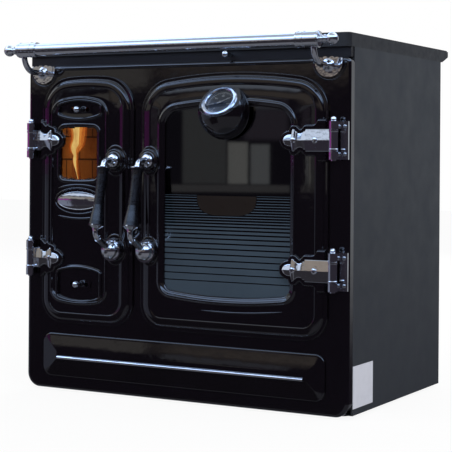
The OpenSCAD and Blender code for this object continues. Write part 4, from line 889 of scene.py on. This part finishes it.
def oven_print():
    """Printed bands on the glass, with clear lines between them and a clear half oval at the top, which a
    dark sheet of painted shade fills.
    """
    h = LIP_H + 0.15
    oval_a, oval_b, top = 80, 47, 497
    lines = [296 + 17.6 * k - 0.475 * k * k for k in range(13)]
    while lines[-1] + 6.3 < top:
        lines.append(lines[-1] + 6.3)
    bands, lo = [], WIN["z0"] - 14
    for z in lines:
        gap = 2.4 + (z - lines[0]) * 0.0118
        bands.append((lo, z - gap / 2))
        lo = z + gap / 2
    bands.append((lo, top))
    parts = []

    def strip(x0f, x1f, za, zb):
        steps = max(2, int((zb - za) / 2.5))
        left, right = [], []
        for i in range(steps + 1):
            z = za + (zb - za) * i / steps
            e = half_width(WIN, *WIN_RS, z)
            if e is None:
                continue
            x0, x1 = x0f(e, z), x1f(e, z)
            if x1 - x0 < 0.5:
                continue
            left.append((x0, z))
            right.append((x1, z))
        if len(left) > 1:
            pts = at_front(left, h) + at_front(right, h)
            n = len(left)
            parts.append((pts, [(i, i + 1, n + i + 1, n + i) for i in range(n - 1)]))

    def cut(z):
        u = (z - top) / oval_b
        return oval_a * max(0.0, 1 - abs(u) ** 3) ** (1 / 3) if u > -1 else 0.0

    for za, zb in bands:
        if zb <= top - oval_b:
            strip(lambda e, z: e[0], lambda e, z: e[1], za, zb)
        else:
            strip(lambda e, z: e[0], lambda e, z: THERM_X - cut(z), za, zb)
            strip(lambda e, z: THERM_X + cut(z), lambda e, z: e[1], za, zb)
    piece("oven_glass_print", *join(parts), "print", "oven_door", "tinted_glass", weighted=False)
    # Dark sheet in the half oval: painted shade of the dim oven seen through the glass
    zs = [top - (oval_b - 1.2) * math.sin(math.pi / 2 * i / 40) for i in range(41)]
    pts = [(THERM_X - cut(z - 0.2) + 1.2, z) for z in zs]
    pts += [(THERM_X + cut(z - 0.2) - 1.2, z) for z in zs[::-1]]
    piece("oven_glass_painted_shade", at_front(pts, h), [tuple(range(len(pts)))], "patch", "oven_door",
          "tinted_glass", weighted=False)


def drawer_front():
    """Drawer front that rises from its rounded edge to a flat strip along its middle."""
    z0, z1, x, r = DRAWER_Z0, DRAWER_Z1, DRAWER_X, DRAWER_R
    edge = smooth([(0, 2.5), (0.3, 3.8), (1.2, 4.8), (3, 5.3), (6, 5.7)], 3) + [(14, 7), (23, 8.5)]
    rings = [at_front(slab(-x, x, z0, z1, r, r, 0, 16), DOOR_CLEAR)]
    rings += [at_front(slab(-x, x, z0, z1, r, r, d, 16), h) for d, h in edge]
    rings += [at_front(slab(-x + d, x - d, z0 + d, z1 - d, 2, 2, 0, 16), h)
              for d, h in ((24.5, 8.75), (34, 10.3), (43, 11.6), (46, 11.98))]
    ob = piece("drawer_front_cast", *loft(rings), "black_enamel", "drawer", angle=50)
    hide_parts("drawer_front")


def strap(z, l, side):
    """Cast strap with a roofed face, and its turned knuckle."""
    tip = PIN_X - l
    n = 90
    rows = []
    for i in range(n + 1):
        t = i / n
        e = l * t * t * (1.5 - 0.5 * t) + 0.02
        rows.append((tip + e, strap_half(e)))
    rings = []
    for x, half in rows:
        x *= side
        ridge = PAD_H + 3.0 + 2.6 * min(1.0, half / 16)
        low = [(-half, PAD_H - 1.6), (-half, PAD_H + 1.6), (-half + 1.2, PAD_H + 2.6), (-0.5, ridge)]
        up = [(-s, h) for s, h in low[::-1]]
        rings.append([Vector((x, FY - h, z + s)) * MM for s, h in low + up])
    body = loft(rings)
    r = 11
    k = STRAP_H / 2
    low = [(4.6, -k), (r - 1.5, -k), (r, -k + 1.5), (r, -k + 5), (r - 1, -k + 6.5)]
    prof = low + [(a, -b) for a, b in low[::-1]]
    knuckle = revolve(prof, (side * PIN_X, PIN_Y, z), (0, 0, 1), 48)
    return join([body, knuckle])


def straps():
    for name, body, l, side in (("firebox_straps", "firebox_door", STRAP_FIRE, -1),
                                ("oven_straps", "oven_door", STRAP_OVEN, 1)):
        v, f = join([strap(z, l, side) for z in HINGE_ZS])
        ob = piece(name + "_cast", v, f, "chrome", body, angle=30)
        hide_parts(name)


def thermometer():
    """Smooth housing, cover glass, scale and figures of the thermometer."""
    n = Vector((0, -math.cos(DIAL_TILT), math.sin(DIAL_TILT)))
    ux = Vector((1, 0, 0))
    uy = n.cross(ux)
    prof = [(0, 0), (THERM_R, 0), (THERM_R, 1.4), (THERM_R - 0.6, 2)]
    for i in range(1, 48):
        a = math.pi * i / 96
        prof.append(((THERM_R - 1.5) * math.cos(a), 2 + (THERM_D - 2) * math.sin(a)))
    v, f = revolve(prof + [(0, THERM_D)], (THERM_X, FY - RIDGE_H, THERM_Z), (0, -1, 0), 128)
    ob = piece("thermometer_shell", v, f, "black_enamel", "oven_door", angle=50)
    block = [[(DIAL_C + (ux * a + uy * b) * (2 * THERM_R) + n * h) * MM for a, b in CORNERS]
             for h in (0, 3 * THERM_R)]
    pocket = revolve([(0, -POCKET_D), (DIAL_R, -POCKET_D), (DIAL_R, 3), (0, 3)], DIAL_C, n, 64)
    carve(ob, [loft(block), pocket])
    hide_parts("thermometer_housing")
    v, f = revolve([(33.6, 0.6), (33.6, 1.4), (30, 2.2), (20, 3.0), (10, 3.4), (0.01, 3.5)], DIAL_C, n, 64)
    piece("thermometer_cover", v, f, "bezel_glass", "oven_door", "clear_glass")
    face = DIAL_C - n * FACE_D
    parts = []
    for i in range(31):
        a = math.radians(-60 + 10 * i)
        d = ux * math.cos(a) + uy * math.sin(a)
        w = d.cross(n)
        long = 5.5 if i % 5 == 0 else 3
        width = 0.8 if i % 5 == 0 else 0.4
        inner = TICK_R - long
        ends = ((TICK_R, -1), (TICK_R, 1), (inner, 1), (inner, -1))
        p = [face + d * r + w * (s * width / 2) for r, s in ends]
        parts.append(([q * MM for q in p], [(0, 1, 2, 3)]))
    ring = [[(face + (ux * math.cos(a) + uy * math.sin(a)) * r) * MM for r in (31.2, 31.9)]
            for a in [math.radians(-60 + 3 * i) for i in range(101)]]
    parts.append(loft(ring, caps=(False, False), loop=False))
    piece("thermometer_scale", *join(parts), "mark", "oven_door", "dial", weighted=False)
    for value, deg in (("0", 240), ("100", 190), ("200", 140), ("300", 90), ("400", 40), ("500", -10)):
        cu = bpy.data.curves.new("figure_" + value, "FONT")
        cu.body, cu.size = value, FIGURE_H * MM
        cu.align_x, cu.align_y = "CENTER", "CENTER"
        cu.extrude = 0.05 * MM
        cu.materials.append(MATS["mark"])
        ob = add("dial_figure_" + value, cu)
        a = math.radians(deg)
        where = face + (ux * math.cos(a) + uy * math.sin(a)) * FIGURE_R + n * 0.1
        ob.matrix_world = Matrix.Translation(where * MM) @ Matrix((ux, uy, n)).transposed().to_4x4()
        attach(ob, "oven_door")


def logs():
    """Three uneven logs on the grate."""
    parts = []
    for i, (x, y, z, r, ang, tilt) in enumerate((
            (-300, -120, 24, 24, 8, 4), (-236, -70, 26, 27, -12, -3), (-272, -150, 66, 25, 74, 6))):
        a = math.radians(ang)
        d = Vector((math.sin(a), math.cos(a), math.sin(math.radians(tilt))))
        half = 110 if abs(ang) < 45 else 62
        c = Vector((x, y, GRATE_TOP + z))
        path = [(c + d * (half * (k / 10 - 1))) * MM for k in range(21)]
        radius = [r * MM * (1 + 0.07 * math.sin(k * 1.9 + i) + 0.05 * math.sin(k * 0.7 + 2 * i))
                  for k in range(21)]
        parts.append(sweep(path, radius, 18))
    piece("logs", *join(parts), "log", "casing", "firebrick", angle=60)


def ember_bed():
    """Lumpy bed under the logs, thin at its rim."""
    n = 26
    verts = []
    for i in range(n + 1):
        for j in range(n + 1):
            x, y = -352 + 184 * i / n, -205 + 330 * j / n
            edge = min(i, n - i, j, n - j) / 4
            lump = 7 + 4 * math.sin(i * 1.7 + j * 0.9) + 3 * math.sin(j * 2.3 - i)
            verts.append(Vector((x, y, GRATE_TOP + 0.6 + min(1.0, edge) * lump)) * MM)
    piece("ember_bed", verts, grid(n, n), "embers", "casing", "firebrick", angle=80)


def flames():
    """Nested flame sheets behind the pane, and their glow."""
    # Height over the pane and the left and right edge, all as shares of the pane
    tongues = [
        (-214, [(0.0, 0.42, 0.48), (0.18, 0.34, 0.45), (0.3, 0.29, 0.43), (0.4, 0.29, 0.42),
                (0.46, 0.31, 0.41), (0.52, 0.25, 0.42), (0.6, 0.2, 0.46), (0.67, 0.18, 0.56),
                (0.75, 0.22, 0.56), (0.86, 0.2, 0.6), (1.0, 0.12, 0.66), (1.1, 0.08, 0.7)]),
        (-206, [(0.5, 0.36, 0.4), (0.62, 0.3, 0.56), (0.75, 0.34, 0.64), (0.9, 0.38, 0.68),
                (1.1, 0.4, 0.7)]),
        (-200, [(0.5, 0.2, 0.26), (0.65, 0.14, 0.36), (0.8, 0.08, 0.34), (1.1, 0.04, 0.3)]),
    ]
    dim = [(-190, [(-0.1, 0.02, 0.56), (0.1, -0.04, 0.52), (0.3, -0.06, 0.46), (0.45, 0.0, 0.4),
                   (0.62, 0.18, 0.3)])]
    for name, rows_of, share, ahead_by in (
            ("flame_dim", dim, 1.0, 0), ("flame_edge", tongues, 1.0, 0),
            ("flame_mid", tongues[:2], 0.7, 2), ("flame_core", tongues[:1], 0.42, 4)):
        parts = []
        for y, rows in rows_of:
            cols = 12
            verts = []
            rows = smooth(rows, 6)
            for v, a, b in rows:
                for i in range(cols + 1):
                    u = (a + b) / 2 + (b - a) / 2 * share * (i / cols * 2 - 1)
                    x = PANE["x0"] + (PANE["x1"] - PANE["x0"]) * u + 0.7 * (FY - y)
                    z = PANE["z0"] + (PANE["z1"] - PANE["z0"]) * v
                    verts.append(Vector((x, y - ahead_by + 3 * math.cos(i / 4 + 6 * v), z)) * MM)
            parts.append((verts, grid(len(rows) - 1, cols)))
        v, f = join(parts)
        sheet = piece(name, v, f, name, "casing", "fire_glass", angle=180, weighted=False)
        sheet.visible_shadow = False
    lamp = bpy.data.lights.new("fire_glow", "POINT")
    lamp.energy, lamp.color, lamp.shadow_soft_size = 0.3, (1.0, 0.62, 0.32), 0.02
    ob = add("fire_glow", lamp)
    ob.location = Vector((-240, -190, 560)) * MM
    ob.visible_camera = ob.visible_glossy = False


def soften(names, width, segments=2, angle=30):
    """Small rounded edges on CAD nodes, as a modifier."""
    for name in names:
        mod = NODES[name].modifiers.new("edges", "BEVEL")
        mod.width, mod.segments, mod.limit_method = width * MM, segments, "ANGLE"
        mod.angle_limit = math.radians(angle)
        mod.harden_normals = True


# Floor, room and lights

def glow_sphere():
    """Unlit room seen only in reflections, painted by direction."""
    bpy.ops.mesh.primitive_uv_sphere_add(segments=64, ring_count=32, radius=9)
    ob = bpy.context.object
    ob.name = "room"
    m = Nodes("room")
    m.tree.nodes.remove(m.bsdf)
    sep = m.new("ShaderNodeSeparateXYZ")
    norm = m.new("ShaderNodeVectorMath", operation="NORMALIZE")
    m.link(m.coords(), norm.inputs[0])
    m.link(norm.outputs["Vector"], sep.inputs["Vector"])
    az = m.calc("ARCTAN2", sep.outputs["X"], m.calc("MULTIPLY", sep.outputs["Y"], -1))
    el = m.calc("ARCSINE", sep.outputs["Z"])

    def window(source, a0, a1, soft):
        sides = []
        for edge, sign in ((a0, 1), (a1, -1)):
            n = m.new("ShaderNodeMapRange", interpolation_type="SMOOTHSTEP")
            e, w = math.radians(edge), math.radians(soft)
            n.inputs["From Min"].default_value = e - w * sign
            n.inputs["From Max"].default_value = e + w * sign
            m.link(source, n.inputs["Value"])
            sides.append(n.outputs["Result"])
        return m.calc("MULTIPLY", *sides)

    base = m.span(el, 0, 1, math.radians(18), math.radians(90))
    colour = m.ramp(base, [
        (0.0, (0.0034, 0.003, 0.0042)), (0.1, (0.010, 0.011, 0.015)), (0.2, (0.15, 0.21, 0.33)),
        (0.28, (0.19, 0.27, 0.42)), (0.44, (0.13, 0.17, 0.26)), (0.58, (0.05, 0.056, 0.066)),
        (1.0, (0.07, 0.078, 0.09))])
    # Patches: azimuth from, to, elevation from, to, softness, colour
    patches = [
        (-180, 180, -95, -13, 4, (0.0175, 0.018, 0.021)),
        (-180, 180, -95, -60, 6, (0.010, 0.011, 0.013)),
        (-50, -15, -34, -11, 3, (0.0035, 0.0033, 0.004)),
        (-31.5, 40, 8.5, 15, 1.5, (0.036, 0.031, 0.027)),
        (-60, -20, 16.5, 25, 1.5, (0.080, 0.092, 0.112)),
        (-31, -24, 6.4, 8, 0.2, (0.024, 0.025, 0.029)),
        (-30, -27.6, 2.3, 6.4, 0.12, (0.020, 0.020, 0.020)),
        (-27.5, -26.4, 2.3, 4.6, 0.1, (0.058, 0.057, 0.053)),
        (-26.25, -25.2, 2.3, 4.5, 0.1, (0.044, 0.045, 0.045)),
        (-26.6, -24.2, 4.75, 6.4, 0.2, (0.013, 0.011, 0.014)),
        (-31, -24.1, 1.85, 2.25, 0.08, (0.022, 0.021, 0.021)),
        (-60, -31.9, 7.5, 14, 0.4, (0.035, 0.033, 0.031)),
        (-105, -60, 15, 34, 2, (0.11, 0.112, 0.11)),
        (-105, -40, -14, 3.2, 1.5, (0.022, 0.024, 0.032)),
        (-105, -39.6, 3.2, 7, 0.6, (0.030, 0.006, 0.029)),
        (100, 180, 42, 95, 6, (0.15, 0.165, 0.185)),
        (140, 176, -4, 40, 5, (0.055, 0.058, 0.062)),
    ]
    for a0, a1, e0, e1, soft, c in patches:
        inside = m.calc("MULTIPLY", window(az, a0, a1, soft), window(el, e0, e1, soft))
        mix = m.new("ShaderNodeMix", data_type="RGBA")
        m.link(inside, mix.inputs["Factor"])
        m.link(colour, mix.inputs["A"])
        mix.inputs["B"].default_value = (*c, 1)
        colour = mix.outputs["Result"]
    glow = m.new("ShaderNodeEmission")
    glow.inputs["Strength"].default_value = 8.0
    m.link(colour, glow.inputs["Color"])
    m.surface(glow.outputs["Emission"])
    m.mat.cycles.emission_sampling = "NONE"
    ob.data.materials.append(m.mat)
    ob.visible_camera = ob.visible_diffuse = ob.visible_shadow = ob.visible_transmission = False
    ob.visible_volume_scatter = False


def world():
    """White where the camera, glass or gloss looks at it, dimmer as a light."""
    w = bpy.data.worlds.new("world")
    bpy.context.scene.world = w
    w.use_nodes = True
    tree = w.node_tree
    back = tree.nodes["Background"]
    path = tree.nodes.new("ShaderNodeLightPath")
    seen = path.outputs["Is Camera Ray"]
    for kind in ("Is Transmission Ray", "Is Glossy Ray"):
        both = tree.nodes.new("ShaderNodeMath")
        both.operation = "MAXIMUM"
        tree.links.new(seen, both.inputs[0])
        tree.links.new(path.outputs[kind], both.inputs[1])
        seen = both.outputs["Value"]
    span = tree.nodes.new("ShaderNodeMapRange")
    span.inputs["To Min"].default_value = 0.45
    span.inputs["To Max"].default_value = 1.0
    tree.links.new(seen, span.inputs["Value"])
    back.inputs["Color"].default_value = (1, 1, 1, 1)
    tree.links.new(span.outputs["Result"], back.inputs["Strength"])


def floor():
    """White floor that keeps a faint shadow."""
    bpy.ops.mesh.primitive_plane_add(size=24)
    ob = bpy.context.object
    ob.name = "floor"
    m = Nodes("floor")
    m.set(Base_Color=(0.92, 0.92, 0.92, 1), Roughness=0.9, Specular_IOR_Level=0.1)
    path = m.new("ShaderNodeLightPath")
    white = m.new("ShaderNodeEmission")
    white.inputs["Strength"].default_value = 1.04
    share = m.calc("MULTIPLY", path.outputs["Is Camera Ray"], 0.88)
    m.blend(share, m.bsdf.outputs["BSDF"], white.outputs["Emission"])
    m.mat.cycles.emission_sampling = "NONE"
    ob.data.materials.append(m.mat)
    ob.visible_glossy = False


def area(name, where, towards, size, energy, colour=(1, 1, 1)):
    """Area light that neither shows nor mirrors."""
    lamp = bpy.data.lights.new(name, "AREA")
    lamp.shape, lamp.size, lamp.size_y = "RECTANGLE", size[0], size[1]
    lamp.energy, lamp.color = energy, colour
    ob = add(name, lamp)
    ob.location = where
    ob.rotation_euler = (Vector(towards) - Vector(where)).to_track_quat("-Z", "Y").to_euler()
    ob.visible_glossy = ob.visible_camera = False


def lights():
    area("key", (3.2, -3.6, 3.4), (0, 0, 0.45), (2.4, 2.4), 70, (0.98, 0.99, 1.0))
    area("fill", (-3.6, -3.2, 2.2), (0, 0, 0.45), (2.6, 2.6), 40, (0.92, 0.96, 1.0))
    area("side", (4.2, 1.6, 1.8), (0.4, 0, 0.45), (2.4, 2.4), 26, (0.92, 0.96, 1.0))
    area("back", (-1.0, 4.2, 2.6), (0, 0, 0.45), (2.6, 2.6), 60)


front_casting()
firebox_door()
firebox_ribs()
badge()
oven_door()
oven_print()
drawer_front()
straps()
thermometer()
logs()
ember_bed()
flames()
soften(["hob_frame"], 1.6, 3)
soften(["side_panel_left", "side_panel_right", "back_panel"], 0.8, 2)
soften(["hinge_leaves"], 1.2, 3)
soften(["rail_brackets"], 0.7, 2)
soften(["rating_plate", "fascia"], 0.2, 1)
glow_sphere()
world()
floor()
lights()
view = bpy.context.scene.view_settings
view.view_transform = "Standard"
